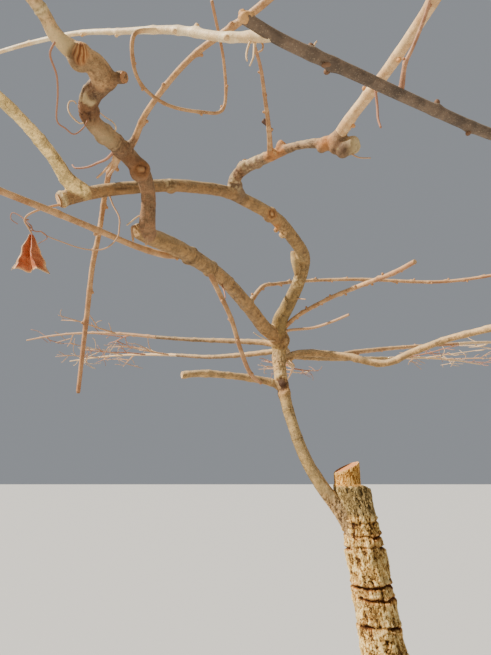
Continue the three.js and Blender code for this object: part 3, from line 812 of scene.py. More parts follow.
# Stubs and swellings on the arms, in millimetres: middle, heading, length, girth at both ends.
STUBS = [
    ([-808, -892, 1996], [-0.55, -0.70, -0.45], 20, 33, 27),
    ([-786, -886, 1999], [0.10, -0.75, -0.65], 20, 30, 24),
    ([-774, -1245, 2088], [0.90, -0.34, -0.26], 28, 19, 20),
    ([-399, -318, 2160], [-0.12, -0.30, 0.94], 70, 28, 25),
    ([-484, -878, 2222], [0.60, -0.35, 0.7], 20, 28, 20),
    ([-343, -966, 2160], [0.62, -0.70, -0.20], 34, 40, 36),
    ([-455, -505, 2170], [-0.50, -0.30, -0.80], 16, 26, 17),
    ([-476, -541, 2170], [-0.55, -0.30, -0.78], 16, 15, 11),
    ([-571, -792, 2234], [-0.2, -0.3, 0.93], 16, 15, 12),
    ([-524, -836, 2229], [-0.1, -0.2, 0.97], 12, 10, 7),
    ([-447, 10, 1868], [-0.9, -0.3, 0.1], 22, 30, 27),
]
BURLS = [
    ([-819, -1287, 2087], 40), ([-797, -1242, 2089], 34), ([-782, -1030, 2057], 40),
    ([-838, -1178, 2080], 34), ([-830, -1120, 2077], 37),
    ([-576, -792, 2219], 34), ([-540, -820, 2216], 30), ([-368, -960, 2168], 40),
    ([-391, -948, 2178], 30), ([-356, -964, 2152], 34), ([-400, -942, 2172], 22),
    ([-427, -6, 1776], 50), ([-596, -738, 2198], 37), ([-435, 6, 1957], 78), ([-748, -856, 2127], 33),
    ([-498, -590, 2194], 44), ([-568, -278, 2019], 47), ([-670, -601, 2020], 45), ([-714, -719, 2009], 45),
]
# Marks on the bark, in millimetres: the limb's middle there, which way the mark faces, its width, how
# far it stands out, and its kind. A band runs round the limb and needs no facing. The dark marks and the
# three blotchy marks are painted shade where the limbs turn from the light, and the pale mark left of
# the whorl is a painted highlight.
MARKS = [
    ([-783, -1026, 2064], [0.30, -0.80, -0.50], 30, 3.0, "eye"),
    ([-842, -1178, 2076], [-0.30, -0.75, -0.60], 46, 2.8, "gash"),
    ([-826, -1214, 2082], [-0.66, -0.62, -0.42], 34, 1.6, "flap"),
    ([-830, -1176, 2074], [0.40, -0.70, -0.60], 60, 0.0, "blotchy_shade"),
    ([-790, -1044, 2066], [0.10, -0.80, -0.60], 70, 0.0, "blotchy_shade"),
    ([-818, -1284, 2094], [0.14, -0.76, -0.58], 30, 3.4, "whorl"),
    ([-836, -1300, 2096], [-0.50, -0.75, -0.30], 36, 0.8, "pale"),
    ([-768, -1246, 2085], [0.10, -0.90, -0.20], 30, 0.0, "dark"),
    ([-826, -1296, 2080], [0.10, -0.70, -0.70], 30, 0.0, "dark"),
    ([-438, 10, 1950], [0.62, -0.76, -0.10], 66, 3.4, "scar"),
    ([-440, 8, 1862], [-0.75, -0.66, 0.00], 66, 2.4, "gold crust"),
    ([-430, -4, 1777], [-0.26, -0.96, 0.00], 80, 3.0, "wound"),
    ([-432, -4, 1806], [-0.20, -0.96, 0.10], 50, 1.4, "crust"),
    ([-497, -589, 2195], [0.15, -0.88, -0.40], 30, 2.4, "eye"),
    ([-455, -505, 2170], [-0.50, -0.60, -0.60], 46, 1.4, "gold crust"),
    ([-476, -541, 2172], [-0.50, -0.70, -0.60], 26, 0.8, "callus"),
    ([-399, -318, 2158], [-0.55, -0.80, 0.00], 70, 0.6, "faint"),
    ([-375, -215, 2128], [-0.80, -0.50, -0.10], 50, 1.2, "crust"),
    ([-590, -745, 2200], [-0.40, -0.80, -0.20], 34, 2.0, "crust"),
    ([-566, -796, 2220], [-0.20, -0.80, 0.30], 38, 2.2, "crust"),
    ([-540, -822, 2218], [-0.20, -0.80, 0.30], 30, 1.8, "crust"),
    ([-585, -770, 2212], [-0.20, -0.80, -0.40], 34, 1.6, "gash"),
    ([-372, -955, 2176], [0.00, -0.45, 0.90], 30, 1.4, "gold crust"),
    ([-390, -949, 2177], [-0.30, -0.86, -0.10], 28, 2.6, "callus"),
    ([-372, -960, 2166], [-0.05, -0.80, -0.60], 34, 0.0, "blotchy_shade"),
    ([-362, -962, 2158], [0.00, -0.80, -0.60], 40, 0.0, "dark"),
    ([-333, -964, 2162], [0.20, -0.82, -0.52], 42, 0.6, "pale"),
    ([-482, -880, 2228], [0.30, -0.70, 0.60], 30, 1.4, "callus"),
    ([-510, -846, 2212], [0.30, -0.90, -0.20], 30, 1.0, "callus"),
    ([-746, -854, 2130], [-0.10, -0.85, -0.30], 22, 2.6, "crust"),
    ([-950, -982, 2022], None, 10, 2.0, "pale band"),
    ([-449, -5, 1868], None, 14, 1.0, "band"),
    ([-568, -278, 2019], None, 15, 1.3, "band"),
    ([-625, -468, 2025], None, 15, 1.2, "band"),
    ([-670, -601, 2020], None, 16, 1.5, "band"),
    ([-714, -719, 2009], None, 18, 1.5, "band"),
    ([-815, -1098, 2075], None, 16, 1.2, "band"),
    ([-860, -1345, 2115], None, 14, 1.0, "pale band"),
    ([-948, -1120, 2064], None, 15, 1.2, "band"),
    ([-405, -1, 1680], None, 15, 1.0, "band"),
    ([-378, -24, 1575], None, 15, 1.0, "band"),
    ([-818, -1104, 2075], [-0.20, -0.85, -0.45], 44, 0.8, "faint"),
]


def way_samples(names, spacing):
    """Points along limbs with what is known there: radius, heading, across, run, colour and lichen."""
    rows = []
    for number, name in enumerate(names):
        points, radii = limb_way(name, spacing)
        headings, normals, across = way_frames(points)
        run = run_lengths(points)
        start, end, growth = ARM_LOOKS[name]
        share = (run / run[-1])[:, None]
        tints = np.array(start[:3]) * (1 - share) + np.array(end[:3]) * share
        rows.append(np.column_stack([points, radii, headings, normals, across, run + number * 3.7, tints,
                                     np.full(len(points), growth)]))
    return np.concatenate(rows)


def arm_parts():
    parts = []
    samples = way_samples(OLD_ARMS, 0.01)
    for number, name in enumerate(OLD_ARMS):
        points, radii = limb_way(name, 0.004)
        run = run_lengths(points)
        radii = radii - ROOM_FOR_BARK
        if "follows" not in LIMBS[name]:
            radii = radii * (1 + FOOT_SWELL * np.exp(-(run / FOOT_SWELL_LENGTH) ** 2))
        if name == "left_rise":
            start, end, loss = RISE_THINS
            radii = radii * (1 - loss * ramp(run, start, end))
        if name == "left_outer":
            start, full, fading, end, gain = OUTER_STOUT
            radii = radii * (1 + gain * ramp(run, start, full) * (1 - ramp(run, fading, end)))
        parts.append(tube(points, radii, 40, uneven(100 + number, 0.035)))
    for name in LIMBS:
        points, radii = limb_way(name, 0.004)
        room = np.linalg.norm(samples[:, MIDDLE] - points[0], axis=1) - samples[:, RADIUS]
        if name not in OLD_ARMS and room.min() < 0.004:
            run = run_lengths(points)
            count = int(np.searchsorted(run, COLLAR_LENGTH + radii[0] * 2))
            swell = 0.92 + 0.38 * np.exp(-(run[:count] / (COLLAR_LENGTH * 0.8)) ** 2)
            parts.append(tube(points[:count], radii[:count] * swell, 24))
    for middle, heading, length, girth, end_girth in STUBS:
        heading = unit(np.array(heading))
        centre = np.array(middle) * MM
        line = np.array([centre - heading * length * MM * 0.7, centre, centre + heading * length * MM * 0.5])
        parts.append(tube(line, np.array([girth * 0.55, girth, end_girth]) * MM / 2, 28))
    for middle, girth in BURLS:
        size = girth * MM / 2
        parts.append(ball(np.array(middle) * MM, (size, size * 1.1), (0.3, -0.8, 0.4), 12, 20))
    return parts


def fuse(parts, voxel, passes):
    """Grows overlapping parts into one skin and eases the creases between them."""
    verts, faces = join_parts(parts)
    mesh = bpy.data.meshes.new("fusing")
    mesh.from_pydata(verts.tolist(), [], faces)
    piece = bpy.data.objects.new("fusing", mesh)
    bpy.context.scene.collection.objects.link(piece)
    remesh = piece.modifiers.new("skin", "REMESH")
    remesh.mode = "VOXEL"
    remesh.voxel_size = voxel
    easing = piece.modifiers.new("easing", "SMOOTH")
    easing.factor = 0.5
    easing.iterations = passes
    graph = bpy.context.evaluated_depsgraph_get()
    skin = bpy.data.meshes.new_from_object(piece.evaluated_get(graph))
    bpy.data.objects.remove(piece)
    bpy.data.meshes.remove(mesh)
    return skin


def read_mesh(mesh):
    verts = np.zeros(len(mesh.vertices) * 3, dtype=np.float32)
    normals = np.zeros(len(mesh.vertices) * 3, dtype=np.float32)
    mesh.vertices.foreach_get("co", verts)
    mesh.vertices.foreach_get("normal", normals)
    faces = [list(face.vertices) for face in mesh.polygons]
    return verts.reshape(-1, 3).astype(float), normals.reshape(-1, 3).astype(float), faces


def limb_coordinates(verts, samples):
    """How far along its nearest limb each point is, the angle round it, and the limb's radius and looks."""
    tree = KDTree(len(samples))
    for index, sample in enumerate(samples):
        tree.insert(sample[MIDDLE], index)
    tree.balance()
    near = np.array([[found[1] for found in tree.find_n(point, 5)] for point in verts])
    nearest = samples[near[:, 0]]
    arm = verts - nearest[:, MIDDLE]
    along = nearest[:, RUN] + np.einsum("ij,ij->i", arm, nearest[:, HEADING])
    angle = np.arctan2(np.einsum("ij,ij->i", arm, nearest[:, ACROSS]),
                       np.einsum("ij,ij->i", arm, nearest[:, NORMAL]))
    return along, angle, nearest[:, RADIUS], samples[near][:, :, LOOKS].mean(axis=1)


def limb_bark(along, angle, radius, seed=50):
    """Low lumps, fine long cracks and wrinkles across the wood, with the cracks as a mask."""
    place = np.stack([np.cos(angle) * radius, np.sin(angle) * radius, along], axis=1)
    frayed = ragged(place * 120, 0.3, seed)
    lumps = 0.8 * noise(place * np.array([46, 46, 21]), seed + 4)
    dimples = noise(place * np.array([120, 120, 75]), seed + 5)
    broken = ramp(noise(place * np.array([50, 50, 17]), seed + 2), -0.2, 0.5)
    crack = cracks(place * np.array([150, 150, 15]) + frayed, 0.16, seed + 1) * broken
    folds = ramp(noise(place * np.array([26, 26, 15]), seed + 6), 0.1, 0.6)
    wrinkle = noise(place * np.array([60, 60, 300]), seed + 3) * folds
    out = 0.0010 * lumps + 0.0006 * dimples - 0.0008 * crack + 0.0004 * wrinkle
    # The mask holds the cracks and the wrinkles' troughs, which the bark's colour darkens as painted shade.
    return out, np.clip(crack + 0.4 * folds * np.clip(-wrinkle, 0, 1), 0, 1)


def wound(spot):
    """A hollow inside a swollen rim, paler along its lower half. Its darkness is partly the dead wood's own
    colour and partly painted shade in the hole.
    """
    rim = np.exp(-((spot.distance - 1.0) / 0.28) ** 2)
    hole = np.exp(-(spot.distance / 0.74) ** 6)
    return rim - 0.9 * hole, {"dark": hole, "warm": 0.8 * spot.swell, "pale": 0.45 * rim * (spot.height < 0)}


def knot(spot, strength):
    """The scar of a shed cane: a raised rim, a dark ring, and a pale heart."""
    ring = np.exp(-((spot.distance - 0.56) / 0.20) ** 2)
    rim = np.exp(-((spot.distance - 0.98) / 0.25) ** 2)
    return 0.7 * rim - 0.8 * ring + 0.3 * spot.swell, {
        "dark": ring * (0.4 + strength * 0.45) * (0.75 + 0.5 * spot.frayed[:, 1]),
        "warm": 0.9 * spot.swell * strength,
        "pale": 0.55 * np.exp(-(spot.distance / 0.28) ** 2) * strength}


def whorl(spot):
    """Swirled grain on a burl. The shader draws its strokes from the phase that this gives."""
    inside = np.exp(-((spot.side / 0.80) ** 2 + spot.height ** 2 + 0.2 * spot.frayed[:, 0]) ** 3)
    strokes = 19 * spot.side / (1.2 + 0.8 * spot.height) + 3.0 * spot.height ** 2
    strokes = strokes + 5.0 * noise(spot.place * 75, spot.seed)
    return 0.7 * inside, {"whorl": inside, "strokes": np.abs(strokes), "warm": inside}


def gash(spot):
    """A patch of deep splits, with painted shade in the splits and over the whole patch."""
    inside = np.exp(-(spot.distance / 0.95) ** 4)
    grain = spot.place * np.array([120, 120, 48]) + spot.frayed * 0.6
    split = cracks(grain, 0.34, spot.seed) * inside
    return 0.35 * inside - split, {"dark": np.maximum(split, 0.42 * inside), "warm": 0.30 * inside}


def callus(spot):
    """Knobbly new wood, warm in colour, with painted shade between the knobs and a painted highlight on their
    tops.
    """
    knobs = noise(spot.place * 90, spot.seed)
    return spot.swell * (0.6 + 0.6 * knobs), {
        "dark": 0.5 * ramp(-knobs, 0.25, 0.7) * spot.swell, "warm": np.sqrt(spot.swell),
        "pale": 0.3 * ramp(knobs, 0.2, 0.7) * spot.swell}


def flap(spot):
    """A pale creased plate of loose bark, with a painted shadow along its edge and painted shade in its
    creases.
    """
    outline = spot.distance + 0.45 * noise(spot.place * 75, spot.seed)
    plate = ramp(-outline, -1.05, -0.80)
    edge = np.exp(-((outline - 1.08) / 0.12) ** 2)
    creases = ramp(noise(spot.place * np.array([95, 95, 60]), spot.seed + 1), -0.2, 0.4) * plate
    return plate - 0.8 * creases, {"pale": 0.56 * plate - 0.50 * creases,
                                   "dark": 0.6 * edge + 0.30 * creases}


def pale_patch(spot):
    return 0.5 * spot.swell, {"pale": 0.8 * np.exp(-spot.distance ** 4)}


def faint_patch(spot):
    return 0.5 * spot.swell, {"pale": 0.35 * spot.swell}


# A patch of painted shade.
def shade_patch(spot):
    return 0.0 * spot.swell, {"dark": 0.7 * spot.swell}


# Blotchy painted shade, a little warm, where a limb turns from the light.
def blotchy_shade(spot):
    blot = ramp(noise(spot.place * 70, spot.seed), -0.5, 0.4) * spot.swell
    return 0.0 * spot.swell, {"dark": 0.50 * blot, "warm": 0.25 * blot}


def crust(spot, gold):
    """Crumbs of lichen or dry bark with pits between them, the pits darkened as painted shade."""
    crumbs = ramp(noise(spot.place * 170, spot.seed), -0.1, 0.35) * spot.swell
    pits = ramp(-noise(spot.place * 170, spot.seed), 0.1, 0.5) * spot.swell
    return crumbs - 0.5 * pits, {"dark": 0.5 * pits, "warm": crumbs * gold, "pale": 0.6 * crumbs}


def band(level, pale):
    """A ring scar right round a limb, with a fold on each side of it. The folds' hollows are darkened as
    painted shade.
    """
    swell = np.exp(-level ** 2)
    folds = np.cos(level * 6) * np.exp(-(level / 1.3) ** 2)
    return swell + 0.35 * folds, {"dark": 0.7 * np.clip(-folds, 0, 1), "pale": swell * pale}


# What each kind of facing mark does. It gets the mark's distances, which are 1 at its edge.
FACING_KINDS = {
    "wound": wound, "whorl": whorl, "gash": gash, "callus": callus, "flap": flap, "blotchy_shade": blotchy_shade,
    "pale": pale_patch, "faint": faint_patch, "dark": shade_patch,
    "eye": lambda spot: knot(spot, 1.0), "scar": lambda spot: knot(spot, 0.4),
    "crust": lambda spot: crust(spot, 0.0), "gold crust": lambda spot: crust(spot, 1.0),
}


def bark_marks(verts, samples, marks):
    """Wounds, whorls, crusts and bands: how far they stand out, and the masks that colour them."""
    out = np.zeros(len(verts))
    masks = {key: np.zeros(len(verts)) for key in ("dark", "warm", "pale", "whorl", "strokes")}
    for number, (middle, facing, width, rise, kind) in enumerate(marks):
        centre = np.array(middle) * MM
        sample = samples[np.argmin(np.linalg.norm(samples[:, MIDDLE] - centre, axis=1))]
        close = np.linalg.norm(verts - centre, axis=1) < sample[RADIUS] * 2 + width * MM
        patch = verts[close]
        arm = patch - centre
        half = width * MM / 2
        frayed = ragged(patch * 160, 1.0, 900 + number)
        if facing is None:
            level = arm @ sample[HEADING] / half + 0.35 * frayed[:, 0]
            lift, found = band(level, kind == "pale band")
        else:
            facing = unit(np.array(facing))
            one, two = sideways(facing)
            distance = np.hypot(arm @ one, arm @ two) / half + 0.14 * frayed[:, 0]
            front = ramp(arm @ facing, -0.5 * sample[RADIUS], 0.2 * sample[RADIUS])
            lift, found = FACING_KINDS[kind](SimpleNamespace(
                distance=distance, swell=np.exp(-distance ** 2), side=arm @ one / half,
                height=arm @ two / half, place=patch, frayed=frayed, seed=950 + number))
            lift = lift * front
            found = {key: values * (front if key != "strokes" else 1) for key, values in found.items()}
        out[close] += rise * MM * lift
        for key, values in found.items():
            masks[key][close] = np.maximum(masks[key][close], values)
    return out, masks


def limb_bark_material():
    material, tree, shader = new_material("limb_bark")
    age = use_group(tree, weathered, Blotch_Size=30.0, Speck_Size=520.0)
    fine = use_group(tree, weathered, Blotch_Size=120.0, Speck_Size=260.0)
    tint = add_node(tree, "ShaderNodeAttribute", attribute_name="tint").outputs["Vector"]
    growth = use_group(tree, lichen, Patch_Size=42.0, Amount=mask_of(tree, "lichen"))
    bark = lighten(tree, tint, between(tree, age.outputs["Blotches"], 0.70, 1.20))
    bark = lighten(tree, bark, between(tree, fine.outputs["Blotches"], 0.82, 1.12))
    # The upper side is lightened, partly as sun-bleached bark and partly as a painted highlight.
    bark = glaze(tree, bark, colour(228, 198, 148), age.outputs["Bleached And Lit Top"], 0.46)
    bark = glaze(tree, bark, colour(70, 44, 24), fine.outputs["Dots"], 0.40)
    bark = glaze(tree, bark, colour(226, 196, 146), age.outputs["Specks"], 0.22)
    bark = glaze(tree, bark, colour(236, 212, 146), growth.outputs["Mask"], 0.60)
    bark = glaze(tree, bark, colour(196, 124, 64), mask_of(tree, "warm"), 0.75)
    waves = arithmetic(tree, "COSINE", mask_of(tree, "strokes"))
    waves = arithmetic(tree, "MULTIPLY", waves, mask_of(tree, "whorl"))
    bark = blend_colour(tree, spread(tree, waves, 0.2, 0.9, 0.0, 0.6), bark, colour(232, 178, 118))
    bark = blend_colour(tree, spread(tree, waves, -0.3, -0.9, 0.0, 0.8), bark, colour(112, 58, 26))
    # The pale mask holds the bark's own pale patches, and a painted highlight on the lit side left of the
    # whorl.
    bark = glaze(tree, bark, colour(230, 202, 146), mask_of(tree, "pale"), 0.85)
    # Painted shade in the cracks and wrinkle troughs.
    bark = glaze(tree, bark, colour(66, 42, 24), mask_of(tree, "crack"), 0.62)
    # The dark mask holds real dark marks, such as knot rings, and painted shade in hollows, cracks, splits
    # and creases.
    bark = glaze(tree, bark, colour(46, 22, 12), mask_of(tree, "dark"), 0.94)
    tree.links.new(bark, shader.inputs["Base Color"])
    tree.links.new(between(tree, age.outputs["Specks"], 0.60, 0.86), shader.inputs["Roughness"])
    shader.inputs["Specular IOR Level"].default_value = 0.28
    relief = arithmetic(tree, "ADD", fine.outputs["Blotches"], age.outputs["Specks"])
    relief = arithmetic(tree, "ADD", relief, arithmetic(tree, "MULTIPLY", waves, 2.0))
    roughen(tree, shader, relief, 0.42, 0.0009)
    return material


def rough_foot(verts):
    """1 on the leader's foot where the old bark covers it, and the cracks in that bark."""
    foot = 1 - ramp(verts[:, 2] + 0.012 * noise(verts * 60, 96), *ROUGH_FOOT)
    place = verts * np.array([90, 90, 24]) + ragged(verts * 170, 0.4, 97)
    return foot, (cracks(place, 0.32, 98) + 0.5 * cracks(place * 2, 0.35, 99)) * foot


old_limb_bark = limb_bark_material()
arm_samples = way_samples(OLD_ARMS, 0.004)
skin = fuse(arm_parts(), ARM_VOXEL, SMOOTHING_PASSES)
arm_verts, arm_normals, arm_faces = read_mesh(skin)
bpy.data.meshes.remove(skin)
arm_along, arm_angle, arm_radius, arm_looks = limb_coordinates(arm_verts, arm_samples)
arm_out, arm_crack = limb_bark(arm_along, arm_angle, arm_radius)
mark_out, arm_masks = bark_marks(arm_verts, arm_samples, MARKS)
foot, foot_crack = rough_foot(arm_verts)
mark_out = mark_out + (0.0016 * foot - 0.0030 * foot_crack) * (foot > 0)
# The cracks in the bark over the leader's foot are darkened as painted shade.
arm_masks["dark"] = np.maximum(arm_masks["dark"], np.clip(foot_crack * 0.8, 0, 1))
arm_looks[:, :3] = arm_looks[:, :3] * (1 - foot[:, None]) + FOOT_TONE * foot[:, None]
arm_verts = arm_verts + arm_normals * (arm_out + mark_out)[:, None]
arm_masks.update(crack=arm_crack, tint=arm_looks[:, :3], lichen=arm_looks[:, 3] + NO_LICHEN)
arms = make_piece("leader_and_arms", arm_verts, arm_faces, [old_limb_bark], arm_masks)
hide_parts(*OLD_ARMS)
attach(arms, "root")

# The cut faces
# Sawn and snapped ends of stubs and arms: dry wood with rings and a dark pith inside a thin rim of bark.
# In millimetres: middle, heading, girth. The last value is how brown it has weathered, from 0 to 1.
CUT_FACES = [
    ([-761.2, -1249.8, 2084.3], [0.90, -0.34, -0.26], 17.5, 1.0),
    ([-403.3, -328.6, 2193.6], [-0.12, -0.30, 0.94], 22, 0.2),
    ([-480.6, -543.5, 2163.6], [-0.55, -0.30, -0.78], 9, 0.2),
    ([-572.5, -794.4, 2241.3], [-0.2, -0.3, 0.93], 10, 0.2),
    ([-456.8, 6.6, 1869.3], [-0.9, -0.3, 0.1], 23, 0.2),
    ([-957.6, -984.3, 2017.6], [-0.78, -0.39, -0.48], 27, 0.2),
    ([-83.8, -585.5, 2048.0], [0.39, -0.92, 0.01], 13, 0.2),
    ([-797.8, -156.4, 1790.9], [-0.90, -0.42, -0.14], 23, 0.2),
    ([-978.3, -699.2, 1656.8], [-0.16, 0.33, -0.93], 8, 0.2),
    ([-521.0, -347.5, 1733.7], [0.52, 0.62, -0.36], 10, 0.2),
]


def cut_face(middle, heading, girth, weathering, seed):
    """A shallow disc with a rim, ring ridges and a sunken pith. Its share runs from 0 to 1 at the rim."""
    heading = unit(np.array(heading))
    one, two = sideways(heading)
    turn = np.linspace(0, 2 * math.pi, 36, endpoint=False)
    shares = np.array([1.0, 1.0, 0.93, 0.86, 0.80, 0.72, 0.64, 0.56, 0.48, 0.40, 0.32, 0.24, 0.17, 0.10])
    drops = np.array([-3.0, 0.2, 0.5, 0.3, -0.1, 0.1, -0.1, 0.1, -0.1, 0.1, -0.1, 0.0, -0.5, -0.9]) * MM
    rows = []
    for share, drop in zip(shares, drops):
        spot = np.stack([np.cos(turn) * 2, np.sin(turn) * 2, turn * 0 + share * 3], axis=1)
        radius = girth * MM / 2 * share * (1 + 0.05 * noise(spot, seed))
        rows.append(np.array(middle) * MM + heading * drop
                    + radius[:, None] * (one * np.cos(turn)[:, None] + two * np.sin(turn)[:, None]))
    faces = grid_faces(len(shares), len(turn))
    last = (len(shares) - 1) * len(turn)
    faces.append(list(range(len(turn) - 1, -1, -1)))
    faces.append(list(range(last, last + len(turn))))
    return (np.concatenate(rows), faces, np.repeat(shares, len(turn)),
            np.full(len(shares) * len(turn), weathering))


def cut_wood_material():
    material, tree, shader = new_material("cut_wood")
    age = use_group(tree, weathered, Blotch_Size=90.0, Speck_Size=500.0)
    share = mask_of(tree, "share")
    wood = shades(tree, share, [
        colour(104, 66, 36), colour(206, 162, 108), colour(224, 184, 130), colour(214, 172, 118),
        colour(232, 196, 144), colour(150, 108, 66)])
    wood = lighten(tree, wood, between(tree, age.outputs["Specks"], 0.82, 1.08))
    wood = glaze(tree, wood, colour(158, 108, 70), mask_of(tree, "weathering"), 0.85)
    tree.links.new(wood, shader.inputs["Base Color"])
    shader.inputs["Roughness"].default_value = 0.8
    roughen(tree, shader, age.outputs["Specks"], 0.4, 0.0005)
    return material


discs = [cut_face(*face, 700 + number) for number, face in enumerate(CUT_FACES)]
cut_verts, cut_faces = join_parts([disc[:2] for disc in discs])
cut_wood = make_piece("cut_wood", cut_verts, cut_faces, [cut_wood_material()],
                      {"share": np.concatenate([disc[2] for disc in discs]),
                       "weathering": np.concatenate([disc[3] for disc in discs])})
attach(cut_wood, "root")

# The old wood behind
# Arms that run off to the back and the sides: older, duller bark than the canes, each grown as one
# tapering limb with nodes along it.
TUBE_ARMS = ["cross_arm", "cross_turn", "pruned_arm", "back_arm", "back_left_arm", "left_back_arm",
             "back_right_arm"]
ARM_LOOKS.update({name: (WARM_BROWN, TAN, 0.0) for name in TUBE_ARMS})
ARM_LOOKS["cross_turn"] = (TAN, GREY_BROWN, 0.0)
ARM_LOOKS.update({name: (WARM_BROWN, GREY_BROWN, 0.0) for name in ("back_left_arm", "left_back_arm")})
NODE_EVERY = 0.085
NODE_SWELL = 0.13
TUBE_ARM_SIDES = 36


def node_swell(seed, length):
    """Rounded nodes every so often along an old arm that isn't quite round."""
    places = np.arange(NODE_EVERY * 0.7, length, NODE_EVERY)
    unround = uneven(seed, 0.06)

    def shape(run, turn, radius):
        result = unround(run, turn, radius)
        for number, place in enumerate(places):
            near = np.exp(-((run - place - 0.006 * np.sin(turn + number)) / 0.010) ** 2)
            result = result + radius * NODE_SWELL * near
        return result
    return shape


def make_tube_arm(number, name):
    points, radii = limb_way(name, 0.0035)
    run = run_lengths(points)
    if "follows" not in LIMBS[name]:
        radii = radii * (1 + 0.20 * np.exp(-(run / 0.03) ** 2))
    sides = TUBE_ARM_SIDES
    verts, faces = tube(points, radii, sides, node_swell(400 + number, run[-1]))
    turn = np.tile(np.linspace(0, 2 * math.pi, sides, endpoint=False), len(points))
    along = np.repeat(run, sides) + number * 2.9
    out, crack = limb_bark(along, turn, np.full(len(verts), radii.mean()), 60 + number * 10)
    outward = verts - np.repeat(points, sides, axis=0)
    verts = verts + outward / np.linalg.norm(outward, axis=1)[:, None] * out[:, None] * 0.7
    looks = np.repeat(way_samples([name], 0.0035)[:, LOOKS], sides, axis=0)
    unmarked = {key: np.zeros(len(verts)) for key in ("dark", "warm", "pale", "whorl", "strokes")}
    piece = make_piece(name + "_bark", verts, faces, [old_limb_bark], {
        "crack": crack, "tint": looks[:, :3], "lichen": looks[:, 3] + NO_LICHEN, **unmarked})
    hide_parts(name)
    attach(piece, "root")


for number, name in enumerate(TUBE_ARMS):
    make_tube_arm(number, name)

# The canes
# Year-old and two-year-old shoots with a thin smooth skin dotted with pale pores, straw to red-brown.
# Each joint is a little swollen and carries a bud on alternate sides.
JOINT_EVERY = 0.066
JOINT_SWELL = 0.12
BUD_MOUND = 0.44
BUD_SIZES = (0.0026, 0.0054)
FIRST_BUD = 0.02
THICK_CANE = 0.009
# Where the joints are, in millimetres along the cane, on canes that show.
JOINTS = {
    "side_cane": [30, 57, 116, 146, 191, 254, 272, 330, 447, 540],
    "rising_cane": [78, 180, 273, 344, 450, 560],
    "near_cane": [60, 150, 245, 338, 413, 612, 645], "curl": [71, 104, 141, 193, 229, 257],
    "tied_cane": [114, 205, 292, 390], "low_cane": [28, 103, 247, 350, 480, 600],
    "long_hanger": [70, 160, 277, 385, 482, 560], "spur_cane": [57, 131, 221, 330, 440],
}
# The skins: shade side or deep colour, main colour, and the pores' colour. The pale skin is partly the
# cane's own straw colour and partly a painted highlight for a sunlit cane; the umber skin is partly the
# older cane's own brown and partly painted shade for a cane seen from its shaded underside.
CANE_SKINS = {
    "pale": (colour(226, 190, 138), colour(248, 226, 182), colour(254, 244, 214)),
    "cream": (colour(188, 142, 94), colour(226, 186, 134), colour(248, 226, 182)),
    "tan": (colour(156, 112, 72), colour(198, 154, 106), colour(228, 196, 148)),
    "russet": (colour(150, 104, 76), colour(190, 142, 106), colour(228, 190, 150)),
    "umber": (colour(84, 69, 56), colour(120, 99, 80), colour(188, 166, 136)),
}
BUD_TONES = {"pale": colour(216, 178, 128), "cream": colour(196, 140, 88), "tan": colour(176, 130, 88),
             "russet": colour(168, 118, 84), "umber": colour(112, 82, 60)}
# The dead tip of a cut cane has healed into a knob: middle and girth of its lumps, in millimetres.
KNOB = [([-568, -1436, 2000], 17), ([-572, -1440, 1996], 13), ([-564, -1433, 2005], 13),
        ([-573, -1439, 2003], 10)]
# Which skin each cane has. The others are tan.
CANE_KINDS = {
    "side_cane": "pale", "spur_cane": "cream", "near_cane": "umber", "curl": "tan", "tied_cane": "tan",
    "upright_shoot": "russet", "rising_cane": "tan", "long_hanger": "tan", "hanging_cane": "tan",
    "low_cane": "tan", "back_cane": "tan", "front_cane": "tan",
}
# How pale a cane's base is, and how thin a few canes are beside their solids.
PALE_BASE = {"curl": 1.0}
CANE_THINNING = {"near_cane": 0.90, "curl": 0.80, "rising_cane": 0.90, "upright_shoot": 0.85,
                 "tied_cane": 0.92}
YOUNG_TONE = colour(158, 100, 72)


def joint_places(name, length):
    if name in JOINTS:
        return np.array(JOINTS[name]) * MM
    return np.arange(JOINT_EVERY * 0.6, length - JOINT_EVERY * 0.3, JOINT_EVERY)


def bud_side(number, seed):
    """Which way round the cane the bud at a joint sits: alternate sides, a little out of line."""
    return math.pi * number + 0.6 * math.sin(number * 2.3) + seed


def cane_shape(seed, joints):
    """Swollen joints with a mound under each bud, on a cane that isn't quite round."""
    def shape(run, turn, radius):
        spot = np.stack(np.broadcast_arrays(np.cos(turn) * 0.7, np.sin(turn) * 0.7, run * 24), axis=-1)
        result = radius * (1 + 0.04 * noise(spot.reshape(-1, 3), seed).reshape(radius.shape))
        for number, joint in enumerate(joints):
            near = np.exp(-((run - joint) / (radius * 1.1)) ** 2)
            aim = np.exp((np.cos(turn - bud_side(number, seed)) - 1) * 2.6)
            slim = np.clip(0.0055 / radius, 0.4, 1)
            result = result + radius * near * slim ** 1.5 * (JOINT_SWELL + BUD_MOUND * aim)
        return result
    return shape


def bud(point, direction, out, size):
    """A blunt bud that sits on the cane's side and leans towards its tip."""
    lean = unit(out * 0.8 + direction * 0.5)
    return ball(point + out * size * 0.25 + direction * size * 0.15, (size * 0.80, size * 0.95), lean, 6, 10)


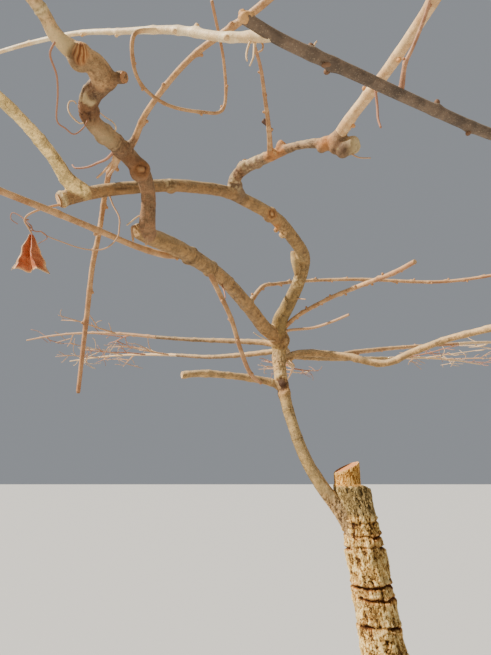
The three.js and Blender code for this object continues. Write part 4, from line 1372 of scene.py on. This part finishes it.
def cane_material(name, deep, main, pore):
    material, tree, shader = new_material(name)
    age = use_group(tree, weathered, Blotch_Size=26.0, Speck_Size=620.0)
    fine = use_group(tree, weathered, Blotch_Size=150.0, Speck_Size=330.0)
    bark = blend_colour(tree, age.outputs["Blotches"], deep, main)
    bark = lighten(tree, bark, between(tree, fine.outputs["Blotches"], 0.88, 1.08))
    bark = glaze(tree, bark, deep, mask_of(tree, "joint"), 0.6)
    bark = glaze(tree, bark, YOUNG_TONE, mask_of(tree, "young"), 0.45)
    bark = blend_colour(tree, mask_of(tree, "base"), bark, colour(238, 206, 152))
    pores = arithmetic(tree, "MULTIPLY", fine.outputs["Dots"],
                       between(tree, age.outputs["Specks"], 0.0, 0.42))
    bark = blend_colour(tree, pores, bark, pore)
    # The upper side takes the pores' pale colour, partly as bleaching and partly as a painted highlight.
    bark = glaze(tree, bark, pore, age.outputs["Bleached And Lit Top"], 0.42)
    tree.links.new(bark, shader.inputs["Base Color"])
    tree.links.new(between(tree, age.outputs["Specks"], 0.46, 0.72), shader.inputs["Roughness"])
    shader.inputs["Specular IOR Level"].default_value = 0.35
    relief = arithmetic(tree, "ADD", fine.outputs["Dots"], fine.outputs["Blotches"])
    roughen(tree, shader, relief, 0.35, 0.0005)
    return material


def plain_bark(name, tone):
    """One plain colour with the fine roughness of dry bark, for twigs too thin for a pattern."""
    material, tree, shader = new_material(name)
    age = use_group(tree, weathered, Blotch_Size=60.0, Speck_Size=900.0)
    shader.inputs["Base Color"].default_value = tone
    tree.links.new(between(tree, age.outputs["Specks"], 0.55, 0.80), shader.inputs["Roughness"])
    shader.inputs["Specular IOR Level"].default_value = 0.3
    roughen(tree, shader, age.outputs["Specks"], 0.3, 0.0004)
    return material


cane_skins = {name: cane_material(name + "_cane", *tones) for name, tones in CANE_SKINS.items()}
cane_buds = {kind: [] for kind in CANE_SKINS}


def rooted(name, points, run):
    """A cane's way with its start eased into the middle of the limb that it grows from."""
    for other in LIMBS:
        parent, girths = limb_way(other, 0.006)
        gaps = np.linalg.norm(parent - points[0], axis=1)
        near = gaps.argmin()
        if other != name and LIMBS[name].get("follows") != other and gaps[near] < girths[near] + 0.004:
            return points + (parent[near] - points[0]) * np.exp(-(run / 0.010) ** 2)[:, None], other
    return points, None


def make_cane(number, name):
    points, radii = limb_way(name, 0.0035)
    run = run_lengths(points)
    points, parent = rooted(name, points, run)
    radii = radii * CANE_THINNING.get(name, 1.0)
    if parent in OLD_ARMS:
        radii = radii * (1 - 0.35 * np.exp(-(run / 0.014) ** 2))
    elif "follows" not in LIMBS[name]:
        radii = radii * (1 + 0.20 * np.exp(-(run / 0.025) ** 2))
    sides = 28 if radii.max() > THICK_CANE else 16
    joints = joint_places(name, run[-1])
    kind = CANE_KINDS.get(name, "tan")
    verts, faces = tube(points, radii, sides, cane_shape(200 + number, joints))
    joint_mask = np.exp(-((run[:, None] - joints[None, :]) / 0.006) ** 2).max(axis=1)
    headings, normals, across = way_frames(points)
    for place, joint in enumerate(joints):
        index = int(np.searchsorted(run, joint))
        if joint > FIRST_BUD and index < len(points) - 2:
            side = bud_side(place, 200 + number)
            out = normals[index] * math.cos(side) + across[index] * math.sin(side)
            size = np.clip(radii[index] * 0.80, *BUD_SIZES)
            cane_buds[kind].append(bud(points[index] + out * radii[index] * 1.16, headings[index], out, size))
    piece = make_piece(name + "_skin", verts, faces, [cane_skins[kind]], {
        "joint": np.repeat(joint_mask, sides),
        "young": np.repeat(ramp(run / run[-1], 0.45, 1.0) * (kind in ("tan", "russet")), sides),
        "base": np.repeat(PALE_BASE.get(name, 0.0) * np.exp(-(run / 0.022) ** 2), sides)})
    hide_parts(name)
    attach(piece, "root")


for number, name in enumerate(name for name in LIMBS if name not in OLD_ARMS + TUBE_ARMS):
    make_cane(number, name)

bud_tones = {kind: plain_bark(kind + "_bud", tone) for kind, tone in BUD_TONES.items()}
bud_verts, bud_faces = join_parts([part for kind in CANE_SKINS for part in cane_buds[kind]])
bud_slots = [slot for slot, kind in enumerate(CANE_SKINS) for part in cane_buds[kind] for _ in part[1]]
buds = make_piece("cane_buds", bud_verts, bud_faces, list(bud_tones.values()), None, bud_slots)
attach(buds, "root")
knob_mesh = fuse([ball(np.array(middle) * MM, (girth * MM / 2, girth * MM / 2), (0.6, 0.4, 0.2))
                  for middle, girth in KNOB], 0.0015, 2)
knob_verts, knob_normals, knob_faces = read_mesh(knob_mesh)
bpy.data.meshes.remove(knob_mesh)
knob_verts = knob_verts + knob_normals * 0.0012 * noise(knob_verts * 260, 77)[:, None]
knob = make_piece("cane_knob", knob_verts, knob_faces, [plain_bark("healed_knob", colour(204, 154, 98))])
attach(knob, "root")

# The small shoots
# Twining side shoots, tendrils and dead spurs, dried hard where they curled. Each is a thin round
# stalk, in millimetres: girth at its base, girth at its tip, colour, and the points of its way.
SHOOTS = [
    (5, 3, "tan", [[-951, -979, 2012], [-976, -988, 2000], [-998, -995, 1987], [-1014, -993, 1978],
                   [-1019, -990, 1968], [-1012, -987, 1956], [-1004, -983, 1942]]),
    (3.4, 2, "russet", [[-846, -1319, 2084], [-856, -1308, 2072], [-854, -1284, 2058], [-860, -1259, 2044],
                        [-873, -1223, 2026], [-863, -1211, 2020], [-852, -1200, 2017], [-842, -1186, 2042],
                        [-838, -1180, 2068]]),
    (3, 2, "pale", [[-845, -1166, 2070], [-858, -1163, 2066], [-867, -1175, 2068], [-873, -1180, 2076],
                    [-876, -1180, 2088], [-873, -1180, 2098], [-866, -1178, 2099], [-863, -1178, 2094]]),
    (3, 1.6, "pale", [[-826, -1104, 2082], [-807, -1125, 2083], [-812, -1130, 2094], [-825, -1135, 2101],
                      [-832, -1150, 2100]]),
    (6, 3, "russet", [[-822, -1078, 2068], [-843, -1052, 2070], [-867, -1030, 2076], [-890, -1020, 2073],
                      [-918, -1010, 2077], [-930, -1000, 2091]]),
    (5, 4, "tan", [[-822, -1060, 2066], [-840, -1040, 2064], [-858, -1020, 2061], [-873, -1010, 2054]]),
    (5, 4, "tan", [[-812, -1062, 2066], [-826, -1040, 2064], [-840, -1020, 2064], [-854, -1000, 2063]]),
    (4, 3, "pale", [[-788, -915, 2020], [-801, -930, 2011], [-821, -950, 1979]]),
    (6, 5, "tan", [[-806, -890, 2006], [-817, -903, 2000], [-819, -915, 1988], [-813, -920, 1956]]),
    (6, 5, "tan", [[-780, -868, 1998], [-784, -885, 2002], [-787, -900, 1983], [-788, -905, 1954]]),
    (4, 2, "tan", [[-890, -905, 2088], [-881, -905, 2084], [-869, -900, 2054], [-853, -900, 2024],
                   [-851, -900, 1997], [-854, -900, 1973], [-873, -900, 1951], [-898, -900, 1944],
                   [-927, -920, 1940], [-959, -940, 1945], [-983, -960, 1949], [-994, -970, 1956]]),
    (3, 1.6, "russet", [[-1004, -986, 1948], [-1006, -985, 1958], [-1016, -985, 1968], [-1032, -985, 1982],
                        [-1049, -985, 1989], [-1050, -985, 1975], [-1037, -980, 1966]]),
    (3, 1.6, "russet", [[-1012, -988, 1972], [-1020, -990, 1968], [-1002, -980, 1951], [-988, -975, 1951],
                        [-978, -970, 1940], [-998, -965, 1929]]),
    (6, 12, "dead", [[-512, -958, 2202], [-521, -963, 2216], [-530, -963, 2227]]),
    (5, 5, "pale", [[-557, -1330, 2066], [-557, -1370, 2040], [-559, -1408, 2006]]),
    (3, 1.8, "pale", [[-563, -1410, 1998], [-568, -1410, 1980], [-569, -1410, 1970], [-568, -1410, 1964]]),
    (3, 1.8, "pale", [[-559, -1410, 1998], [-560, -1410, 1973], [-562, -1412, 1963], [-565, -1412, 1955]]),
    (3, 1.8, "tan", [[-557, -1408, 2003], [-549, -1408, 1991], [-550, -1409, 1981], [-555, -1410, 1977]]),
    (6, 4, "pale", [[-556, -1412, 2004], [-552, -1414, 2010], [-549, -1415, 2015]]),
    (4, 2.5, "tan", [[-345, -960, 2168], [-352, -960, 2159], [-329, -970, 2130], [-301, -975, 2124]]),
    (6, 4, "russet", [[-318, -1098, 2205], [-319, -1100, 2194], [-313, -1085, 2168], [-312, -1080, 2142],
                      [-308, -1080, 2120]]),
    (9, 5, "umber", [[-457, -1377, 1990], [-465, -1384, 1984], [-473, -1389, 1977]]),
    (4, 1.5, "pale", [[-484, -1392, 1994], [-484, -1393, 2003], [-480, -1395, 2009]]),
    (12, 10, "tan", [[-420, 4, 1976], [-403, -33, 1988], [-306, -16, 2003], [-240, -41, 2018],
                     [-170, -78, 2040]]),
    (5, 3, "pale", [[-441, -5, 1955], [-470, -40, 1945], [-505, -70, 1948], [-540, -110, 1960]]),
    (4, 3, "tan", [[-400, 20, 1890], [-398, -10, 1870], [-385, -35, 1852]]),
    (5, 3, "russet", [[-640, -515, 2004], [-632, -530, 1975], [-628, -548, 1950]]),
    (5, 3, "tan", [[-395, -150, 2080], [-370, -175, 2072], [-352, -205, 2060]]),
]
SHOOT_TONES = ["pale", "tan", "russet", "umber", "dead"]


twig_tones = [
    plain_bark("straw_twig", colour(216, 180, 134)),
    plain_bark("tan_twig", colour(190, 148, 108)),
    plain_bark("russet_twig", colour(164, 116, 90)),
]
shoot_parts = []
shoot_slots = []
for girth, tip, tone, way in SHOOTS:
    points, along = smooth_way(np.array(way) * MM, None, None, 0.004)
    radii = (girth + (tip - girth) * along / along[-1]) * MM / 2
    shoot_parts.append(tube(points, radii, 10))
    shoot_slots += [SHOOT_TONES.index(tone)] * len(shoot_parts[-1][1])
shoot_verts, shoot_faces = join_parts(shoot_parts)
shoot_tones = twig_tones + [plain_bark("umber_twig", colour(126, 94, 70)),
                            plain_bark("dead_twig", colour(74, 50, 36))]
shoots = make_piece("small_shoots", shoot_verts, shoot_faces, shoot_tones, None, shoot_slots)
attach(shoots, "root")

# The last leaf
# One dead leaf still hangs on its curled stalk: a broad thin blade that pleated and crumpled as it
# dried, orange-brown, with a paler ragged edge.
LEAF_TOP = np.array([-1005, -983, 1941]) * MM
LEAF_LENGTH = 0.076
LEAF_HALF_WIDTH = 0.036
LEAF_THICKNESS = 0.0005
LEAF_STEPS = 44


def leaf_parts():
    """A pleated blade that hangs from its stalk: its points, its faces, and its edge and vein masks."""
    down = np.repeat(np.linspace(0, 1, LEAF_STEPS), LEAF_STEPS)
    across = np.tile(np.linspace(-1, 1, LEAF_STEPS), LEAF_STEPS)
    half_width = LEAF_HALF_WIDTH * (0.09 + 0.91 * down ** 0.95) * (1 + 0.04 * np.sin(down * 21))
    pleat = np.cos(across * math.pi * 1.75 + 0.5)
    crumple = noise(np.stack([across * 2.6, down * 3.2, down * 0], axis=1), 5)
    creases = noise(np.stack([across * 6, down * 8, down * 0 + 3], axis=1), 6)
    x = across * half_width + 0.003 * crumple * down
    y = (0.013 * pleat + 0.006 * crumple) * (0.25 + 0.75 * down) + 0.0020 * creases
    curled = ramp(-across, 0.72, 1.0)
    x = x + 0.006 * curled * down
    y = y - 0.012 * curled * down
    ragged_hem = 0.0016 * noise(np.stack([across * 9, down * 0, down * 0 + 7], axis=1), 8)
    z = -down * (LEAF_LENGTH + 0.004 * np.abs(across) ** 3 + ragged_hem)
    verts = LEAF_TOP + np.stack([x + 0.002 * down, y, z], axis=1)
    corner = np.arange(LEAF_STEPS - 1)
    low = (corner[:, None] * LEAF_STEPS + corner[None, :]).ravel()
    faces = np.stack([low, low + 1, low + LEAF_STEPS + 1, low + LEAF_STEPS], axis=1).tolist()
    edge = np.maximum(ramp(np.abs(across), 0.86, 1.0), ramp(down, 0.93, 1.0))
    edge = np.maximum(edge, 0.9 * ramp(-across, 0.55, 0.80))
    veins = np.exp(-((np.abs(across) * 1.6 - (down * 7) % 1.0) / 0.09) ** 2) * (np.abs(across) > 0.05)
    return verts, faces, {"edge": edge, "vein": np.maximum(np.exp(-(across / 0.06) ** 2), 0.5 * veins),
                          "fold": np.clip(0.5 - 0.5 * pleat - 0.3 * creases, 0, 1)}


def dead_leaf_material():
    material, tree, shader = new_material("dead_leaf")
    age = use_group(tree, weathered, Blotch_Size=70.0, Speck_Size=500.0)
    blade = blend_colour(tree, age.outputs["Blotches"], colour(188, 98, 54), colour(214, 130, 82))
    blade = glaze(tree, blade, colour(128, 56, 30), mask_of(tree, "fold"), 0.50)
    blade = glaze(tree, blade, colour(222, 154, 106), mask_of(tree, "vein"), 0.6)
    blade = glaze(tree, blade, colour(232, 196, 142), mask_of(tree, "edge"), 0.8)
    tree.links.new(blade, shader.inputs["Base Color"])
    shader.inputs["Roughness"].default_value = 0.6
    roughen(tree, shader, age.outputs["Specks"], 0.4, 0.0006)
    return material


leaf_verts, leaf_faces, leaf_masks = leaf_parts()
leaf = make_piece("last_leaf", leaf_verts, leaf_faces, [dead_leaf_material()], leaf_masks)
thickness = leaf.modifiers.new("thickness", "SOLIDIFY")
thickness.thickness = LEAF_THICKNESS
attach(leaf, "root")

# The masses of twigs
# Past the ends of the boughs the wood divides into bare twigs with buds, which keep to a flat layer
# overhead. They are dry, and straw-coloured to red-brown.
STEM_TIP_GIRTH = 6
HEADROOM = 0.150
TWIGS_ON_STEM = 8
TWIGS_ON_TWIG = 2
TWIG_ANGLE = 52
TWIG_LENGTH = 0.52
TWIG_GIRTH = 0.62
TWIG_TIP_GIRTH = 3.4
TWIG_STEPS = 3
WANDER = 0.34
PASSING_ROOM = 0.006
LIMB_SPACING = 0.075
SPUR_CHANCE = 0.55
BUD_EVERY = 0.034
SPUR_BUD_EVERY = 0.022


def seeded(seed):
    """The source's repeatable random numbers from 0 to 1."""
    state = seed * 7919

    def draw():
        nonlocal state
        state = (state * 1664525 + 1013904223) % 4294967296
        return state / 4294967296
    return draw


def side_shoot(parent, side, draw):
    """The heading of a shoot that leaves its parent to one side, and a little up or down."""
    shoot = turned(parent, TWIG_ANGLE * (0.75 + 0.5 * draw()) * side)
    shoot[2] += (draw() - 0.4) * 0.5
    return unit(shoot)


def in_space(point, stem, length, reach):
    middle = (stem[0] + stem[-1]) / 2
    along = unit((stem[-1] - stem[0]) * np.array([1, 1, 0]))
    offset = point - middle
    forward = offset @ along / (length * 0.68)
    aside = (along[0] * offset[1] - along[1] * offset[0]) / reach
    upwards = offset[2] / HEADROOM
    return forward ** 2 + aside ** 2 + upwards ** 2 < 1


def grow_twig(mass, base, heading, length, girth, level, draw, spray, grown):
    """The source's twig: a few steps that stray, then shorter twigs along its sides."""
    steps = TWIG_STEPS - level
    guides = [base]
    direction = heading.copy()
    for _ in range(steps):
        direction[0] += (draw() - 0.5) * WANDER
        direction[1] += (draw() - 0.5) * WANDER
        direction[2] = direction[2] * 0.8 + (draw() - 0.45) * WANDER * 0.5
        direction = unit(direction)
        guides.append(guides[-1] + direction * length / steps)
    for point in guides[1:]:
        room = np.linalg.norm(obstacle_points - point, axis=1) - obstacle_radii
        if not in_space(point, *mass) or room.min() <= girth * MM / 2 + PASSING_ROOM:
            return
    grown.append((np.array(guides), girth, level, spray))
    if level == 1:
        return
    for count in range(TWIGS_ON_TWIG):
        out = unit(guides[1 + count] - guides[count])
        shoot = side_shoot(out, 1 if count % 2 == 0 else -1, draw)
        reach = length * (0.5 - 0.09 * count) * (0.8 + 0.4 * draw())
        grow_twig(mass, guides[1 + count], shoot, reach, girth * 0.68, level + 1, draw, spray, grown)


def mass_twigs(mass, girths, seed):
    """The source's twigs along a mass's stem: guide points, girth, level, and the spray each is in."""
    stem, length, _ = mass
    draw = seeded(seed)
    grown = []
    for count in range(TWIGS_ON_STEM):
        along = 0.35 + (STEM_STEPS - 0.6) * count / TWIGS_ON_STEM
        index = int(along)
        base = stem[index] * (1 - along + index) + stem[index + 1] * (along - index)
        out = unit(stem[index + 1] - stem[index])
        shoot = side_shoot(out, 1 if count % 2 == 0 else -1, draw)
        reach = length * TWIG_LENGTH * (0.75 + 0.5 * draw()) * (1 - 0.07 * count)
        girth = (girths[index] * (1 - along + index) + girths[index + 1] * (along - index)) * TWIG_GIRTH
        grow_twig(mass, base, shoot, reach, girth, 0, draw, count, grown)
    return grown


def fine_growth(mass, guides, girth, level, seed, parts, buds):
    """The twig itself, its buds, and finer spurs and curled tips that the solids leave out."""
    points, along = smooth_way(guides, None, None, 0.012)
    share = along / along[-1]
    radii = (girth * (1 - share) + TWIG_TIP_GIRTH * share * 0.75) * MM / 2
    run = run_lengths(points)
    headings, normals, across = way_frames(points)
    draw = seeded(seed)
    every = BUD_EVERY if level < 2 else SPUR_BUD_EVERY
    place = every * (0.5 + 0.5 * draw())
    number = 0
    while place < run[-1] - 0.006:
        index = int(np.searchsorted(run, place))
        facing = math.pi * number + 1.1 * draw()
        out = normals[index] * math.cos(facing) + across[index] * math.sin(facing)
        size = max(radii[index] * 0.95, 0.0017)
        buds.append(bud(points[index] + out * radii[index] * 0.7, headings[index], out, size))
        radii[max(index - 1, 0):index + 1] *= 1.12
        if level < 2 and draw() < SPUR_CHANCE:
            spur = unit(headings[index] * 0.55 + out * 0.9 + np.array([0, 0, 0.12]))
            reach = (0.035 + 0.080 * draw()) * (1 if level == 0 else 0.7)
            bend = np.array([draw() - 0.5, draw() - 0.5, draw() - 0.5]) * 0.7
            first = points[index] + spur * reach * 0.4
            second = first + unit(spur + bend) * reach * 0.35
            third = second + unit(spur + bend * 2.4) * reach * 0.25
            if in_space(third, *mass):
                fine_growth(mass, np.array([points[index], first, second, third]), max(girth * 0.4, 2.6), 2,
                            seed * 7 + number + 1, parts, buds)
        place += every * (0.8 + 0.5 * draw())
        number += 1
    parts.append(tube(points, radii, 6 if level < 2 else 5))


obstacles = [limb_way(name, LIMB_SPACING) for name in LIMBS]
obstacle_points = np.concatenate([points for points, _ in obstacles])
obstacle_radii = np.concatenate([radii for _, radii in obstacles])


def make_mass(number, name, bough, seed, length, spread_out):
    """A mass's stem and twigs as one piece, its buds as another. Each spray has a colour of its own."""
    stem = stems[bough]
    mass = (stem, length, spread_out)
    thick = LIMBS[bough]["girths"][-1]
    girths = [thick + (STEM_TIP_GIRTH - thick) * index / STEM_STEPS for index in range(STEM_STEPS + 1)]
    way, along = smooth_way(stem, limb_guides(bough)[-2], None, 0.006)
    radii = np.interp(along, range(STEM_STEPS + 1), girths) * MM / 2
    joints = joint_places(name, run_lengths(way)[-1])
    parts = [tube(way, radii, 12, cane_shape(300 + number, joints))]
    slots = [number % 2] * len(parts[0][1])
    twig_buds = []
    for count, (guides, girth, level, spray) in enumerate(mass_twigs(mass, girths, seed)):
        first = len(parts)
        fine_growth(mass, guides, girth, level, seed * 131 + count, parts, twig_buds)
        tone = (spray * 5 + number) % len(twig_tones)
        slots += [tone] * sum(len(part[1]) for part in parts[first:])
    verts, faces = join_parts(parts)
    piece = make_piece(name + "_bare", verts, faces, twig_tones, None, slots)
    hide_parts(name)
    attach(piece, "root")
    verts, faces = join_parts(twig_buds)
    piece = make_piece(name + "_buds", verts, faces, [bud_tones["cream"]])
    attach(piece, "root")


for number, (name, bough, seed, length, _, _, spread_out) in enumerate(MASSES):
    make_mass(number, name, bough, seed, length * MM, spread_out * MM)

# The floor, the light and the camera
# A plain pale floor, a main light from the left behind the camera, a weak wide one from the right,
# and an even pale sky. The camera stands 1.9 m from the trunk at eye height and looks a little up.
FLOOR_SIZE = 60
EYE = (-0.57, -1.90, 1.50)
LOOK_UP = 15
LENS = 27.04
SENSOR = 36
SKY = 0.38
FLOOR_TONE = (0.56, 0.55, 0.53, 1)
SKY_TONE = (0.72, 0.76, 0.82, 1)
SUN_TONE = (1.0, 0.94, 0.83)
KEY = {"aim": (0.82, 0.26, -0.66), "strength": 9.5, "softness": 3}
FILL = {"aim": (-0.6, 0.5, 0.15), "strength": 0.5, "softness": 40}

floor_mesh = bpy.data.meshes.new("floor")
half = FLOOR_SIZE / 2
floor_mesh.from_pydata([(-half, -half, 0), (half, -half, 0), (half, half, 0), (-half, half, 0)], [],
                       [(0, 1, 2, 3)])
floor = bpy.data.objects.new("floor", floor_mesh)
bpy.context.scene.collection.objects.link(floor)
floor_paint, _, floor_shader = new_material("pale_floor")
floor_shader.inputs["Base Color"].default_value = FLOOR_TONE
floor_shader.inputs["Roughness"].default_value = 0.9
floor.data.materials.append(floor_paint)

world = bpy.data.worlds.new("soft_sky")
world.use_nodes = True
world.node_tree.nodes["Background"].inputs["Color"].default_value = SKY_TONE
world.node_tree.nodes["Background"].inputs["Strength"].default_value = SKY
bpy.context.scene.world = world

for lamp_name, light in (("key", KEY), ("fill", FILL)):
    lamp = bpy.data.lights.new(lamp_name, "SUN")
    lamp.energy = light["strength"]
    lamp.angle = math.radians(light["softness"])
    lamp.color = SUN_TONE
    lamp_object = bpy.data.objects.new(lamp_name, lamp)
    lamp_object.rotation_euler = Vector(light["aim"]).to_track_quat("-Z", "Y").to_euler()
    bpy.context.scene.collection.objects.link(lamp_object)

camera_data = bpy.data.cameras.new("camera")
camera_data.lens = LENS
camera_data.sensor_width = SENSOR
camera_data.clip_start = 0.05
camera = bpy.data.objects.new("camera", camera_data)
camera.location = EYE
camera.rotation_euler = (math.radians(90 + LOOK_UP), 0, 0)
bpy.context.scene.collection.objects.link(camera)
bpy.context.scene.camera = camera
